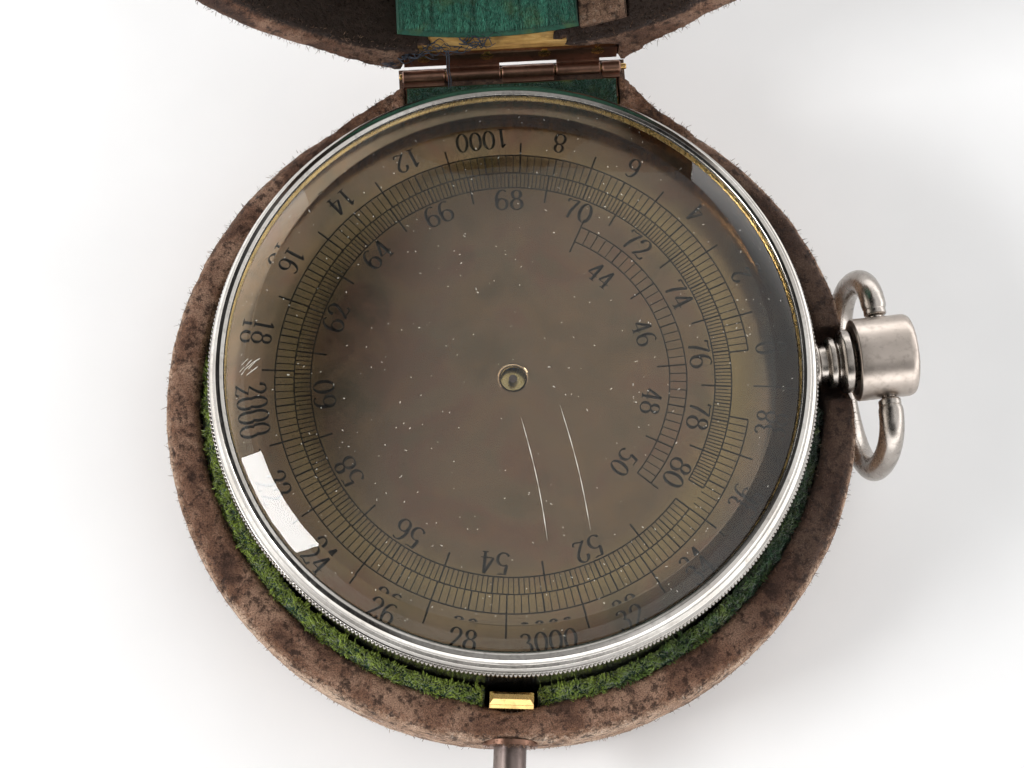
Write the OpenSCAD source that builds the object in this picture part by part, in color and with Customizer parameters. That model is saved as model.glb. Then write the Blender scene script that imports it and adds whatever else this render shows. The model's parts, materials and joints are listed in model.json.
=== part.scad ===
// Pocket aneroid barometer in a round hinged clamshell case.
// Millimetres, +Z up.  Origin: centre of the flat bottom of the case.
// The hinge is at the back (+Y), the press catch at the front (-Y),
// the pendant and its bow leave the case at the right (+X).

/* [Case] */
// Outer radius of the case at its widest
case_r = 43.6; // [43.6:0.1:44.0]
// Thickness of the case wall
wall_t = 3.6; // [3.4:0.1:3.7]
// Height of the lower half, from the table to its rim
base_h = 22; // [22:0.1:22.3]
// Height of the lid, from its rim to its top
lid_h = 20.8; // [20.8:0.2:24]
// Gap between the two rims when shut
rim_gap = 0.4; // [0.3:0.05:0.5]
// Thickness of the plush on the wall
plush_t = 2.0; // [1.6:0.1:2.1]

/* [Hinge] */
// How far the hinge is turned from square to the catch, degrees
hinge_yaw = 5; // [3:0.5:6]
// Length of the hinge barrel
hinge_len = 29.2; // [28:0.2:30]
// Outer radius of the knuckles
knuckle_r = 0.85; // [0.8:0.05:0.9]
// Radius of the hinge pin
hinge_pin_r = 0.4; // [0.35:0.05:0.45]
// How far the lid stands open, degrees
lid_open = 95; // [60:1:118]

/* [Catch] */
// Sideways place of the press catch
latch_x = 1; // [-2:0.5:2]
// Height of the press pin's axis
latch_z = 17.6; // [17:0.1:18]
// Radius of the press pin
button_r = 2.05; // [1.8:0.05:2.1]
// How far the press pin sticks out of the wall
button_out = 6.4; // [4:0.2:9]

/* [Instrument] */
// How far the instrument is turned in its case, degrees
inst_az = 8.2; // [4:0.2:10]
// Radius of the drum
drum_r = 36.8; // [36.6:0.1:36.8]
// Radius over the coin edge of the bezel
coin_r = 37.5; // [37.3:0.1:37.6]
// Height of the dial's face above the table
dial_z = 29.8; // [29.6:0.1:29.9]
// Radius of the dial
dial_r = 35.4; // [35.2:0.1:35.4]
// Radius of the dial's centre hole
dial_hole_r = 1.55; // [1.4:0.05:1.8]
// Radius where the flat top of the glass meets its bevel
glass_flat_r = 32; // [31:0.2:33]

/* [Pendant] */
// Height of the pendant's axis
pend_z = 21.5; // [21.2:0.1:21.6]
// Outer radius of the pendant cap
cap_r = 5.3; // [5.0:0.1:5.4]
// Length of the pendant cap
cap_len = 7.7; // [7:0.1:8.2]
// Radius of the bow's wire
bow_wire_r = 1.6; // [1.3:0.1:1.65]
// How far the hanging bow leans towards the case, degrees
bow_lean = 6.5; // [0:0.5:6.5]

/* [Hidden] */
$fn = 72;
eps = 0.02;
in_r = case_r - wall_t;              // inside radius of the leather wall
hinge_p = [-1.4, case_r + 1.1, base_h + 0.2];
lid_z = base_h + rim_gap;            // lid rim, shut
top_z = lid_z + lid_h;               // top of the shut case
leaf_t = 0.6;
x0 = -hinge_len / 2;
x1 = hinge_len / 2;
// knuckle borders along the barrel: base, lid, base, lid, base
kn = [x0, x0 + 5.8, x0 + 13.2, x0 + 20.4, x0 + 26.5, x1];

// ---------- placing helpers ----------
module at_hinge() translate(hinge_p) rotate([0, 0, hinge_yaw]) children();
// the lid is drawn shut, then turned open about the barrel
module lid_pose() at_hinge() rotate([-lid_open, 0, 0])
    rotate([0, 0, -hinge_yaw]) translate(-hinge_p) children();
// the instrument's own frame, +x along the pendant
module at_inst() rotate([0, 0, inst_az]) children();
// a box given by two corners
module bx(a, b) translate(a) cube(b - a);
module cyl(x, y, z0, z1, r) translate([x, y, z0]) cylinder(r = r, h = z1 - z0);
module xcyl(xa, xb, y, z, r) translate([xa, y, z]) rotate([0, 90, 0]) cylinder(r = r, h = xb - xa);
module ycyl(ya, yb, x, z, r) translate([x, ya, z]) rotate([-90, 0, 0]) cylinder(r = r, h = yb - ya);

// ---------- the case ----------
// outline of the lug that carries the hinge, seen from above
module lug_outline() polygon([
    [-25.6, 34.0], [-22.6, 37.2], [-19.2, 40.2], [-16.9, 41.7], [-15.7, 42.25],
    [12.4, 44.7], [13.6, 44.6], [15.2, 43.4], [17.6, 40.8], [21.8, 37.6], [24.4, 34.6], [15, 30], [-15, 30]]);
// wall profile of the lower half, outside then inside
module base_profile() polygon([
    [0, 0], [38.2, 0], [40.2, 0.35], [41.5, 1.3], [42.3, 2.8], [42.9, 5.6], [43.3, 9.5],
    [case_r, 14], [case_r, 18.4], [case_r - 0.3, 20.4], [case_r - 0.9, 21.6], [case_r - 1.7, base_h],
    [in_r + 0.8, base_h], [in_r + 0.2, base_h - 0.35], [in_r, base_h - 0.9], [in_r, 2.6], [0, 2.6]]);
module neck_notch(zlow, zhigh) at_inst() {
    xcyl(37, 47, 0, pend_z, 4.6);
    bx([37, -4.6, zlow], [47, 4.6, zhigh]);
}
module base_shell() color([0.36, 0.25, 0.19]) difference() {
    union() {
        rotate_extrude($fn = 120) base_profile();
        difference() {
            translate([0, 0, 5]) linear_extrude(base_h - 5) lug_outline();
            translate([0, 0, 4]) cylinder(r = in_r, h = 30, $fn = 120);
        }
    }
    neck_notch(pend_z, 30);
    // pocket for the wooden hinge block and the leaf above it
    at_hinge() bx([x0 + 0.2, -5.4, 9.9 - hinge_p.z], [x1 - 0.4, -2.0, 3]);
    at_hinge() bx([x0 + 0.2, -5.4, -leaf_t - 0.75], [x1 - 0.4, 3, 3]);
    at_hinge() bx([x0 - 1, -1.12, -0.95], [x1 + 1.4, 3, 3]);
    ycyl(-50, -30, latch_x, latch_z, 2.75);
    // seat of the ferrule's flange
    ycyl(-50, -43.2, latch_x, latch_z, 3.45);
}
module base_hinge_block() color([0.66, 0.45, 0.22]) difference() {
    at_hinge() bx([x0 + 0.25, -5.35, 9.95 - hinge_p.z], [x1 - 0.45, -2.05, -leaf_t - 0.75]);
    cylinder(r = in_r + 0.02, h = 60, $fn = 120);
    at_hinge() for (x = [-11.5, -3.2, 4.4, 11.4]) cyl(x, -3.1, -5.2, 3, 0.47);
}
module base_velvet_wall() color([0.12, 0.33, 0.08]) difference() {
    rotate_extrude($fn = 120) polygon([[in_r - plush_t, 4.4], [in_r - 0.05, 4.4],
        [in_r - 0.05, base_h - 1.1], [in_r - 0.6, base_h - 0.75], [in_r - plush_t + 0.4, base_h - 0.9], [in_r - plush_t, base_h - 1.5]]);
    neck_notch(pend_z, 30);
    bx([latch_x - 3.2, -45, 11], [latch_x + 3.2, -30, 30]);
}
module base_velvet_pad() color([0.12, 0.33, 0.08])
    translate([0, 0, 2.62]) cylinder(r = in_r - 0.1, h = 1.7, $fn = 120);
module base_velvet_strip() color([0.12, 0.33, 0.08]) difference() {
    at_hinge() bx([x0 + 0.5, -5.3, -0.72], [x1 - 0.7, -1.35, -0.2]);
    cylinder(r = in_r + 0.02, h = 60, $fn = 120);
}

// ---------- the hinge ----------
// one leaf with the knuckles that belong to it; side -1 lies below the axis
module leaf(side, ks) difference() {
    union() {
        translate([0, 0, side < 0 ? -leaf_t - 0.75 : 0.75])
            bx([x0 + 0.3, -4.9, 0.02], [x1 - 0.5, -1.15, leaf_t]);
        for (k = ks) {
            xcyl(kn[k] + 0.06, kn[k + 1] - 0.06, 0, 0, knuckle_r);
            translate([0, 0, side < 0 ? -leaf_t - 0.75 : 0.75])
                bx([kn[k] + 0.15, -1.3, side < 0 ? 0.1 : 0.02], [kn[k + 1] - 0.15, -0.35, leaf_t - (side < 0 ? 0 : 0.08)]);
            bx([kn[k] + 0.15, -1.3, side < 0 ? -0.9 : 0.3], [kn[k + 1] - 0.15, -0.35, side < 0 ? -0.3 : 0.9]);
        }
    }
    xcyl(x0 - 1, x1 + 1, 0, 0, hinge_pin_r + 0.03);
    for (x = [-11.5, -3.2, 4.4, 11.4]) cyl(x, -3.1, -3, 3, 0.5);
    translate([0, 0, side < 0 ? -0.75 : 0.75]) for (x = [-11.5, -3.2, 4.4, 11.4])
        translate([x, -3.1, side < 0 ? -0.3 : -0.02]) cylinder(r = 0.92, h = 0.32);
    // the leather and board are trimmed back round the inside of the case
    rotate([0, 0, -hinge_yaw]) translate([-hinge_p.x, -hinge_p.y, -10]) cylinder(r = in_r + 0.02, h = 30, $fn = 120);
}
module leaf_screw(side) {
    // side -1: head up, shank down
    mirror([0, 0, side < 0 ? 0 : 1]) {
        cyl(0, 0, -5, -0.9, 0.44);
        difference() {
            cyl(0, 0, -1.04, -0.78, 0.88);
            bx([-1, -0.12, -0.88], [1, 0.12, -0.7]);
        }
    }
}
module hinge_base_leaf() color([0.55, 0.33, 0.22]) at_hinge() leaf(-1, [0, 2, 4]);
module base_leaf_screws() color([0.55, 0.45, 0.25]) at_hinge()
    for (x = [-11.5, -3.2, 4.4, 11.4]) translate([x, -3.1, 0]) leaf_screw(-1);
module hinge_pin() color([0.5, 0.3, 0.2]) at_hinge() xcyl(x0 - 0.3, x1 + 0.7, 0, 0, hinge_pin_r);
module hinge_lid_leaf() color([0.55, 0.33, 0.22]) lid_pose() at_hinge() leaf(1, [1, 3]);
module lid_leaf_screws() color([0.55, 0.45, 0.25]) lid_pose() at_hinge()
    for (x = [-11.5, -3.2, 4.4, 11.4]) translate([x, -3.1, 0]) leaf_screw(1);

// ---------- the lid ----------
// wall profile, from the rim up to where the curve begins
lid_z1 = top_z - 8.2;
lid_z2 = top_z - 4.2;
module lid_wall() color([0.33, 0.22, 0.17]) lid_pose() difference() {
    union() {
        rotate_extrude($fn = 120) polygon([
            [case_r - 1.06, lid_z1], [case_r - 0.5, top_z - 11], [case_r, top_z - 16], [case_r, lid_z + 2.2],
            [case_r - 0.5, lid_z + 0.7], [case_r - 1.4, lid_z],
            [in_r + 0.6, lid_z], [in_r, lid_z + 0.7], [in_r, top_z - 11], [in_r - 0.63, lid_z1]]);
        difference() {
            translate([0, 0, lid_z]) linear_extrude(lid_z1 - lid_z) lug_outline();
            translate([0, 0, 4]) cylinder(r = in_r, h = 60, $fn = 120);
        }
    }
    neck_notch(20, pend_z);
    at_hinge() bx([x0 + 0.2, -5.4, -3], [x1 - 0.4, -2.0, 33.6 - hinge_p.z]);
    at_hinge() bx([x0 + 0.2, -5.4, -3], [x1 - 0.4, 3, leaf_t + 0.75]);
    at_hinge() bx([x0 - 1, -1.12, -3], [x1 + 1.4, 3, 0.95]);
    // seat of the strike
    bx([latch_x - 3.7, -41.0, 20], [latch_x + 3.7, -36, 29.6]);
}
// the curve between wall and top
module lid_shoulder() color([0.33, 0.22, 0.17]) lid_pose() rotate_extrude($fn = 120) polygon([
    [in_r - 2.97, lid_z2], [case_r - 2.51, lid_z2], [case_r - 1.3, top_z - 7], [case_r - 1.06, lid_z1],
    [in_r - 0.63, lid_z1], [in_r - 0.9, top_z - 7], [in_r - 2.6, top_z - 4.4]]);
// the flat board of the top
module lid_top() color([0.33, 0.22, 0.17]) lid_pose() rotate_extrude($fn = 120) polygon([
    [0, top_z], [30, top_z - 0.15], [35, top_z - 0.6], [38.6, top_z - 1.8], [41, top_z - 4],
    [case_r - 2.51, lid_z2], [in_r - 2.97, lid_z2], [in_r - 5.2, top_z - 3], [0, top_z - 2.8]]);
module lid_hinge_block() color([0.66, 0.45, 0.22]) lid_pose() difference() {
    at_hinge() bx([x0 + 0.25, -5.35, leaf_t + 0.75], [x1 - 0.45, -2.05, 33.55 - hinge_p.z]);
    cylinder(r = in_r + 0.02, h = 60, $fn = 120);
    at_hinge() for (x = [-11.5, -3.2, 4.4, 11.4]) cyl(x, -3.1, 0, 5.2, 0.47);
}
module lid_velvet_pad() color([0.08, 0.30, 0.18]) lid_pose()
    translate([0, 0, top_z - 4.2]) cylinder(r = in_r - 5.5, h = 1.2, $fn = 120);
module lid_velvet_strip() color([0.08, 0.30, 0.18]) lid_pose() intersection() {
    rotate_extrude($fn = 120) polygon([[in_r - 1.7, lid_z + 2.6], [in_r - 0.05, lid_z + 2.2],
        [in_r - 0.05, top_z - 11], [in_r - 0.95, top_z - 7.3], [in_r - 2.4, top_z - 7.6], [in_r - 1.7, top_z - 11]]);
    at_hinge() bx([x0 + 0.5, -20, -2], [x1 - 5, 5, 40]);
}
module lid_strike() color([0.72, 0.58, 0.3]) lid_pose() difference() {
    union() {
        bx([latch_x - 3.5, -40.95, 22.8], [latch_x + 3.5, -40.25, 29.4]);
        bx([latch_x - 2.5, -40.4, 22.8], [latch_x + 2.5, -39.62, 23.6]);
    }
    for (s = [-1, 1]) ycyl(-42, -39, latch_x + s * 2.2, 27.2, 0.5);
}
module strike_rivets() color([0.72, 0.58, 0.3]) lid_pose()
    for (s = [-1, 1]) {
        ycyl(-40.99, -40.2, latch_x + s * 2.2, 27.2, 0.47);
        ycyl(-40.24, -39.95, latch_x + s * 2.2, 27.2, 0.85);
    }

// ---------- the press catch ----------
module latch_ferrule() color([0.6, 0.45, 0.22]) difference() {
    union() {
        ycyl(-43.9, -40.2, latch_x, latch_z, 2.7);
        ycyl(-43.9, -43.25, latch_x, latch_z, 3.4);
    }
    ycyl(-45, -41.2, latch_x, latch_z, button_r + 0.06);
    ycyl(-45, -39, latch_x, latch_z, 1.06);
}
// return spring, one closed ring per coil
module latch_spring() color([0.5, 0.5, 0.5])
    for (i = [0 : 2]) translate([latch_x, -42.62 + i * 0.55, latch_z]) rotate([-90, 0, 0])
        rotate_extrude($fn = 40) translate([1.55, 0]) circle(r = 0.2, $fn = 16);
module latch_pin() color([0.3, 0.24, 0.2]) union() {
    ycyl(-43.4 - button_out + 0.9, -42.95, latch_x, latch_z, button_r);
    translate([latch_x, -43.4 - button_out + 0.9, latch_z]) rotate([90, 0, 0])
        rotate_extrude() polygon([[0, 0], [button_r, 0], [button_r, 0.15], [button_r - 0.25, 0.5], [button_r - 0.75, 0.78], [0, 0.9]]);
    ycyl(-43, -38.9, latch_x, latch_z, 1.0);
}
module latch_catch() color([0.75, 0.58, 0.28]) difference() {
    translate([latch_x - 2.7, 0, 0]) rotate([90, 0, 90]) linear_extrude(5.4) polygon([
        [-39.72, 15.4], [-39.72, 22.3], [-39.35, 22.6], [-39.0, 22.75], [-39.0, 23.7], [-39.5, 23.9], [-39.5, 24.15],
        [-38.9, 24.75], [-38.3, 24.85], [-38.0, 24.5], [-38.0, 15.4]]);
    ycyl(-45, -38.8, latch_x, latch_z, 1.02);
    // faceted ends of the nose
    for (s = [-1, 1]) translate([latch_x + s * 2.7, -38.7, 24.9]) rotate([0, s * 52, 0]) cube([2.2, 4, 0.9], center = true);
}

// ---------- the barometer's housing ----------
module body_drum() color([0.68, 0.66, 0.6]) at_inst() difference() {
    rotate_extrude($fn = 120) polygon([[35.6, 5.8], [drum_r, 5.8], [drum_r, 31.9], [drum_r - 0.2, 32.15], [36.1, 32.15],
        [36.1, 33.8], [35.5, 33.8], [35.5, dial_z - 0.9], [34, dial_z - 0.9], [34, dial_z - 2], [35.6, dial_z - 3.2]]);
    xcyl(30, 40, 0, pend_z, 2.3);
}
module back_cover() color([0.66, 0.64, 0.58]) at_inst() difference() {
    rotate_extrude($fn = 120) polygon([[0, 4.35], [36.2, 4.35], [drum_r, 4.8], [drum_r, 5.78], [35.5, 5.78], [35.5, 7.0], [34.4, 7.0], [34.4, 5.8], [0, 5.8]]);
    cyl(0, 19, 4, 8, 2.3);
    for (a = [30, 150, 270]) rotate([0, 0, a]) cyl(29, 0, 4.95, 8, 0.95);
}
module pendant_neck() color([0.72, 0.70, 0.66]) at_inst() translate([0, 0, pend_z]) rotate([0, 90, 0])
    rotate_extrude() polygon([[0, 35.0], [2.2, 35.0], [2.27, 35.2], [2.27, 37.0], [2.9, 37.05], [3.1, 37.3], [3.1, 39.2], [2.95, 39.45],
        [2.35, 39.55], [2.35, 40.5], [3.0, 40.6], [3.3, 40.85], [3.3, 41.5], [3.05, 41.75],
        [2.7, 41.85], [2.7, 42.15], [3.8, 42.25], [4.1, 42.6], [4.1, 43.5], [3.85, 43.9], [2.6, 44.0], [2.6, 47.4], [0, 47.6]]);
module pendant_cap() color([0.66, 0.62, 0.58]) at_inst() difference() {
    translate([0, 0, pend_z]) rotate([0, 90, 0])
        rotate_extrude() polygon([[4.55, 44.1], [cap_r - 0.15, 44.1], [cap_r, 44.25], [cap_r, 44.1 + cap_len - 0.9], [cap_r - 0.25, 44.1 + cap_len - 0.3],
            [cap_r - 0.9, 44.1 + cap_len], [0, 44.1 + cap_len + 0.1], [0, 47.65], [2.64, 47.65], [2.64, 45.7], [4.4, 45.7], [4.5, 45.5]]);
    ycyl(-9, -4.0, 47.9, pend_z, 0.96);
    ycyl(4.0, 9, 47.9, pend_z, 0.96);
}
// half of the bow's centre line, from the eye to the bottom: (sideways, down)
function bez(a, b, c, d, t) = a * pow(1 - t, 3) + b * 3 * t * pow(1 - t, 2) + c * 3 * t * t * (1 - t) + d * pow(t, 3);
bow_half = concat(
    [for (i = [0 : 9]) bez([cap_r + 1.15, 0], [cap_r + 4.9, 0], [12.4, 3.6], [12.4, 8.8], i / 10)],
    [for (i = [0 : 10]) bez([12.4, 8.8], [12.4, 14.0], [7.2, 18.3], [0, 18.3], i / 10)]);
bow_path = concat(bow_half, [for (i = [len(bow_half) - 2 : -1 : 0]) [-bow_half[i].x, bow_half[i].y]]);
// a round wire swept along a flat path in the y-z plane
module wire(path, r, n = 14) {
    m = len(path);
    function dir(i) = let (a = path[max(i - 1, 0)], b = path[min(i + 1, m - 1)], d = i == 0 ? [1, 0] : i == m - 1 ? [1, 0] : b - a) d / norm(d);
    pts = [for (i = [0 : m - 1]) let (d = dir(i), s = i == m - 1 ? 1 : 1) for (k = [0 : n - 1])
        let (c = cos(360 * k / n) * r, h = sin(360 * k / n) * r) [h, path[i].x + d.y * c, -(path[i].y - d.x * c)]];
    polyhedron(points = pts, faces = concat(
        [[for (k = [0 : n - 1]) k]], [[for (k = [n - 1 : -1 : 0]) (m - 1) * n + k]],
        [for (i = [0 : m - 2]) for (k = [0 : n - 1]) [i * n + k, (i + 1) * n + k, (i + 1) * n + (k + 1) % n, i * n + (k + 1) % n]]), convexity = 6);
}
module bow() color([0.66, 0.64, 0.62]) at_inst() translate([47.9, 0, pend_z]) rotate([0, bow_lean, 0]) union() {
    wire(bow_path, bow_wire_r);
    for (s = [-1, 1]) {
        ycyl(s > 0 ? cap_r + 0.3 : -cap_r - 1.4, s > 0 ? cap_r + 1.4 : -cap_r - 0.3, 0, 0, 1.45);
        ycyl(s > 0 ? 4.3 : -cap_r - 1.0, s > 0 ? cap_r + 1.0 : -4.3, 0, 0, 0.9);
    }
}
module bezel() color([0.74, 0.72, 0.68]) at_inst()
    rotate_extrude($fn = 120) polygon([[36.16, 32.3], [coin_r - 0.15, 32.3], [coin_r, 32.45], [coin_r, 33.95], [coin_r - 0.15, 34.1],
        [36.75, 34.15], [36.7, 34.45], [37.0, 34.7], [37.05, 35.15], [36.85, 35.7], [36.35, 36.0], [36.3, 36.25], [36.45, 36.5], [36.35, 37.0],
        [36.0, 37.35], [35.5, 37.45], [35.1, 37.3], [34.95, 37.05], [34.95, 36.92], [35.45, 36.7], [35.45, 34.0], [36.16, 34.0]]);
module glass() color([0.8, 0.85, 0.8, 0.35]) at_inst()
    rotate_extrude($fn = 120) polygon([[0, 34.8], [35.25, 34.8], [35.35, 34.9], [35.35, 36.55], [glass_flat_r, 38.1], [0, 38.1]]);
module glass_seat_ring() color([0.6, 0.55, 0.4]) at_inst()
    rotate_extrude($fn = 120) polygon([[34.5, 34.0], [35.4, 34.0], [35.4, 34.78], [34.5, 34.78]]);
module dial() color([0.55, 0.5, 0.42]) at_inst() difference() {
    translate([0, 0, dial_z - 0.88]) cylinder(r = dial_r, h = 0.88, $fn = 120);
    cyl(0, 0, 20, 35, dial_hole_r);
    translate([0, 0, dial_z - 0.3]) cylinder(r1 = dial_hole_r, r2 = dial_hole_r + 0.35, h = 0.35);
}
module dial_pillars() color([0.72, 0.6, 0.35]) at_inst() for (a = [90, 210, 330]) rotate([0, 0, a])
    union() {
        cyl(31, 0, 8.82, dial_z - 0.9, 1.5);
        cyl(31, 0, 8.82, 10.2, 2.1);
    }

// ---------- the movement ----------
module movement_plate() color([0.75, 0.62, 0.35]) at_inst() difference() {
    translate([0, 0, 7.02]) cylinder(r = 35.0, h = 1.78, $fn = 120);
    cyl(0, 19, 6, 10, 1.6);
    for (a = [30, 150, 270]) rotate([0, 0, a]) cyl(29, 0, 6, 10, 1.0);
}
module plate_screws() color([0.4, 0.4, 0.42]) at_inst() for (a = [30, 150, 270]) rotate([0, 0, a]) union() {
    cyl(29, 0, 5.0, 8.85, 0.9);
    difference() {
        cyl(29, 0, 8.82, 9.7, 1.7);
        bx([27, -0.2, 9.35], [31, 0.2, 10]);
    }
}
module aneroid_capsule() color([0.78, 0.74, 0.62]) at_inst() rotate_extrude($fn = 96) polygon(concat(
    [[0, 8.82], [5, 8.82], [5, 9.6], [7, 9.6]],
    [for (i = [0 : 7]) [7.8 + i * 0.9, i % 2 == 0 ? 10.1 : 9.6]],
    [[15, 10.6], [15, 13.4]],
    [for (i = [7 : -1 : 0]) [7.8 + i * 0.9, i % 2 == 0 ? 13.9 : 14.4]],
    [[7, 14.4], [5, 14.4], [5, 15.2], [0, 15.2]]));
module capsule_post() color([0.7, 0.68, 0.62]) at_inst() union() {
    cyl(0, 0, 15.22, 16.6, 2.6);
    cyl(0, 0, 16.6, 18.55, 1.5);
}
module spring_bridge() color([0.74, 0.6, 0.34]) at_inst() difference() {
    union() {
        for (s = [-1, 1]) bx([s * 14 - 3, 16.4, 8.82], [s * 14 + 3, 21.6, 13.2]);
        bx([-17, 16.4, 13.0], [17, 21.6, 16.0]);
    }
    for (s = [-1, 1]) cyl(s * 14, 19, 11, 17, 1.05);
}
module bridge_screws() color([0.4, 0.4, 0.42]) at_inst() for (s = [-1, 1]) union() {
    cyl(s * 14, 19, 11.2, 16.1, 1.0);
    difference() {
        cyl(s * 14, 19, 16.02, 17.2, 1.9);
        bx([s * 14 - 2.5, 18.8, 16.7], [s * 14 + 2.5, 19.2, 18]);
    }
}
// broad C-shaped leaf spring, seen from the side as (y, z)
module mainspring() color([0.35, 0.38, 0.45]) at_inst() translate([-8, 0, 0]) rotate([90, 0, 90]) linear_extrude(16) polygon(concat(
    [[16.6, 16.02], [22.6, 16.02]],
    [for (a = [-80 : 20 : 80]) [22.6 + 1.65 * cos(a), 17.67 + 1.65 * sin(a)]],
    [[22.6, 19.32], [-2.6, 19.32], [-2.6, 18.58], [22.3, 18.58]],
    [for (a = [70 : -20 : -70]) [22.4 + 0.9 * cos(a), 17.68 + 0.9 * sin(a)]],
    [[22.3, 16.76], [16.6, 16.76]]));
module main_lever() color([0.6, 0.6, 0.62]) at_inst() difference() {
    union() {
        bx([-7.5, -2.3, 20.1], [7.5, 3, 20.9]);
        bx([-7.5, -19.8, 20.1], [-4.5, 3, 20.9]);
    }
    cyl(-6, -18, 19, 22, 0.5);
    for (x = [-3.5, 3.5]) cyl(x, 0.3, 20.5, 22, 0.55);
}
module compensation_bar() color([0.7, 0.55, 0.3]) at_inst() bx([-7.2, -15, 20.92], [-4.8, 2, 21.35]);
module link_rod() color([0.5, 0.5, 0.52]) at_inst() union() {
    cyl(-6, -18, 17.75, 21.6, 0.42);
    cyl(-6, -18, 20.95, 21.6, 0.9);
}
module rocking_shaft() color([0.55, 0.55, 0.58]) at_inst() union() {
    xcyl(-12.6, 11.6, -24, 16.6, 0.8);
    xcyl(-13.9, 12.9, -24, 16.6, 0.45);
    // short arm under the link
    bx([-7.1, -24, 16.1], [-4.9, -17, 17.1]);
    // tall arm that pulls the chain
    bx([0.6, -24.5, 16.6], [1.6, -23.5, 24.9]);
}
module shaft_posts() color([0.74, 0.6, 0.34]) at_inst() for (x = [-14.0, 12.0]) difference() {
    union() {
        bx([x - 0.2, -26, 8.82], [x + 1.2, -22, 19.2]);
        bx([x - 1.6, -26.6, 8.82], [x + 2.6, -21.4, 9.8]);
    }
    xcyl(x - 3, x + 3, -24, 16.6, 0.5);
}
module arbor_plate() color([0.74, 0.6, 0.34]) at_inst() difference() {
    bx([-20.4, -2.6, 22.3], [20.4, 2.6, 23.1]);
    cyl(0, 0, 20, 25, 0.58);
}
module arbor_pillars() color([0.74, 0.6, 0.34]) at_inst() for (s = [-1, 1]) union() {
    cyl(s * 18, 0, 8.82, 22.28, 1.6);
    cyl(s * 7, 0, 23.12, 27.0, 1.1);
}
module arbor_cock() color([0.74, 0.6, 0.34]) at_inst() difference() {
    bx([-8.4, -1.6, 27.02], [8.4, 1.6, 27.8]);
    cyl(0, 0, 20, 30, 0.58);
}
module hand_arbor() color([0.6, 0.6, 0.62]) at_inst() union() {
    cyl(0, 0, 21.7, 29.3, 0.52);
    cyl(0, 0, 23.25, 23.6, 1.5);
    cyl(0, 0, 23.5, 25.4, 0.95);
    cyl(0, 0, 25.3, 25.6, 1.5);
}
// flat spiral, three turns
module hairspring() color([0.45, 0.5, 0.6]) at_inst() translate([0, 0, 26.0]) linear_extrude(0.35) polygon(concat(
    [for (i = [0 : 72]) let (a = i * 15, r = 1.2 + i * 0.058) [r * cos(a), r * sin(a)]],
    [for (i = [72 : -1 : 0]) let (a = i * 15, r = 1.3 + i * 0.058) [r * cos(a), r * sin(a)]]));
module pull_chain() color([0.6, 0.5, 0.3]) at_inst() bx([0.98, -23.45, 24.35], [1.22, -0.2, 24.65]);
module regulating_screw() color([0.45, 0.45, 0.48]) at_inst() difference() {
    union() {
        cyl(0, 19, 4.9, 6.4, 2.2);
        cyl(0, 19, 6.4, 12.98, 1.52);
    }
    bx([-3, 18.75, 4.0], [3, 19.25, 5.5]);
}

base_shell();
base_hinge_block();
base_velvet_wall();
base_velvet_pad();
base_velvet_strip();
hinge_base_leaf();
base_leaf_screws();
hinge_pin();
latch_ferrule();
latch_spring();
lid_wall();
lid_shoulder();
lid_top();
lid_hinge_block();
lid_velvet_pad();
lid_velvet_strip();
hinge_lid_leaf();
lid_leaf_screws();
lid_strike();
strike_rivets();
latch_pin();
latch_catch();
body_drum();
back_cover();
pendant_neck();
pendant_cap();
bow();
movement_plate();
plate_screws();
aneroid_capsule();
capsule_post();
spring_bridge();
bridge_screws();
mainspring();
main_lever();
compensation_bar();
link_rod();
rocking_shaft();
shaft_posts();
arbor_plate();
arbor_pillars();
arbor_cock();
hand_arbor();
hairspring();
pull_chain();
dial();
dial_pillars();
regulating_screw();
bezel();
glass();
glass_seat_ring();
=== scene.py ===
import bpy, bmesh, json, math
import numpy as np
from mathutils import Matrix, Vector


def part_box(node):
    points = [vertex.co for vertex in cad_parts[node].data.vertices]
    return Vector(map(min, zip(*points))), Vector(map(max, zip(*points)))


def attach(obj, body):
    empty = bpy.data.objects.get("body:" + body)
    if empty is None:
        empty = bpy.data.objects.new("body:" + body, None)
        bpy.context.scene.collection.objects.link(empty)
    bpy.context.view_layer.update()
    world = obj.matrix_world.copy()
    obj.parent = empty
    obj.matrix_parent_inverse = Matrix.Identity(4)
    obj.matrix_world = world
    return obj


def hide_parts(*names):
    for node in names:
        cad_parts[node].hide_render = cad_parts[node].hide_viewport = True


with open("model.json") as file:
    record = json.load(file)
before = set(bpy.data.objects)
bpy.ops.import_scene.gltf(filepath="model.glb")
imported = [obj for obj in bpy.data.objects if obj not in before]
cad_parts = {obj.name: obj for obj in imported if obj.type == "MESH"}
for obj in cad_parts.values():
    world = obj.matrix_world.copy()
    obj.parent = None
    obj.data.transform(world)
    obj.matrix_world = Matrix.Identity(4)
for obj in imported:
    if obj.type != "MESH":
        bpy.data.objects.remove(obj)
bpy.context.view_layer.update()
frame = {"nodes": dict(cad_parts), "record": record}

nodes = frame["nodes"]
scene = bpy.context.scene
MM = 0.001
rng = np.random.default_rng(11)

# ------------------------------------------------------------------ frame numbers (mm)
HP = np.array([-1.4, 44.7, 22.2]); YAW = math.radians(5.0)
OPEN = -next(j["range_deg"][0] for j in frame["record"]["behaviour"]["joints"] if j["name"] == "lid_hinge")
AZ = math.radians(8.2)
PEND_Z = 21.5; DIAL_Z = 29.8
_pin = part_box("latch_pin"); LX = (_pin[0].x + _pin[1].x) / 2 / MM


def rot_about(P, p, u, ang):
    """P turned by ang degrees about the line through p along u."""
    a = math.radians(ang); c, s = math.cos(a), math.sin(a)
    Q = np.asarray(P, float) - p
    return Q * c + np.cross(u, Q) * s + np.outer(Q @ u, u) * (1 - c) + p


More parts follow.
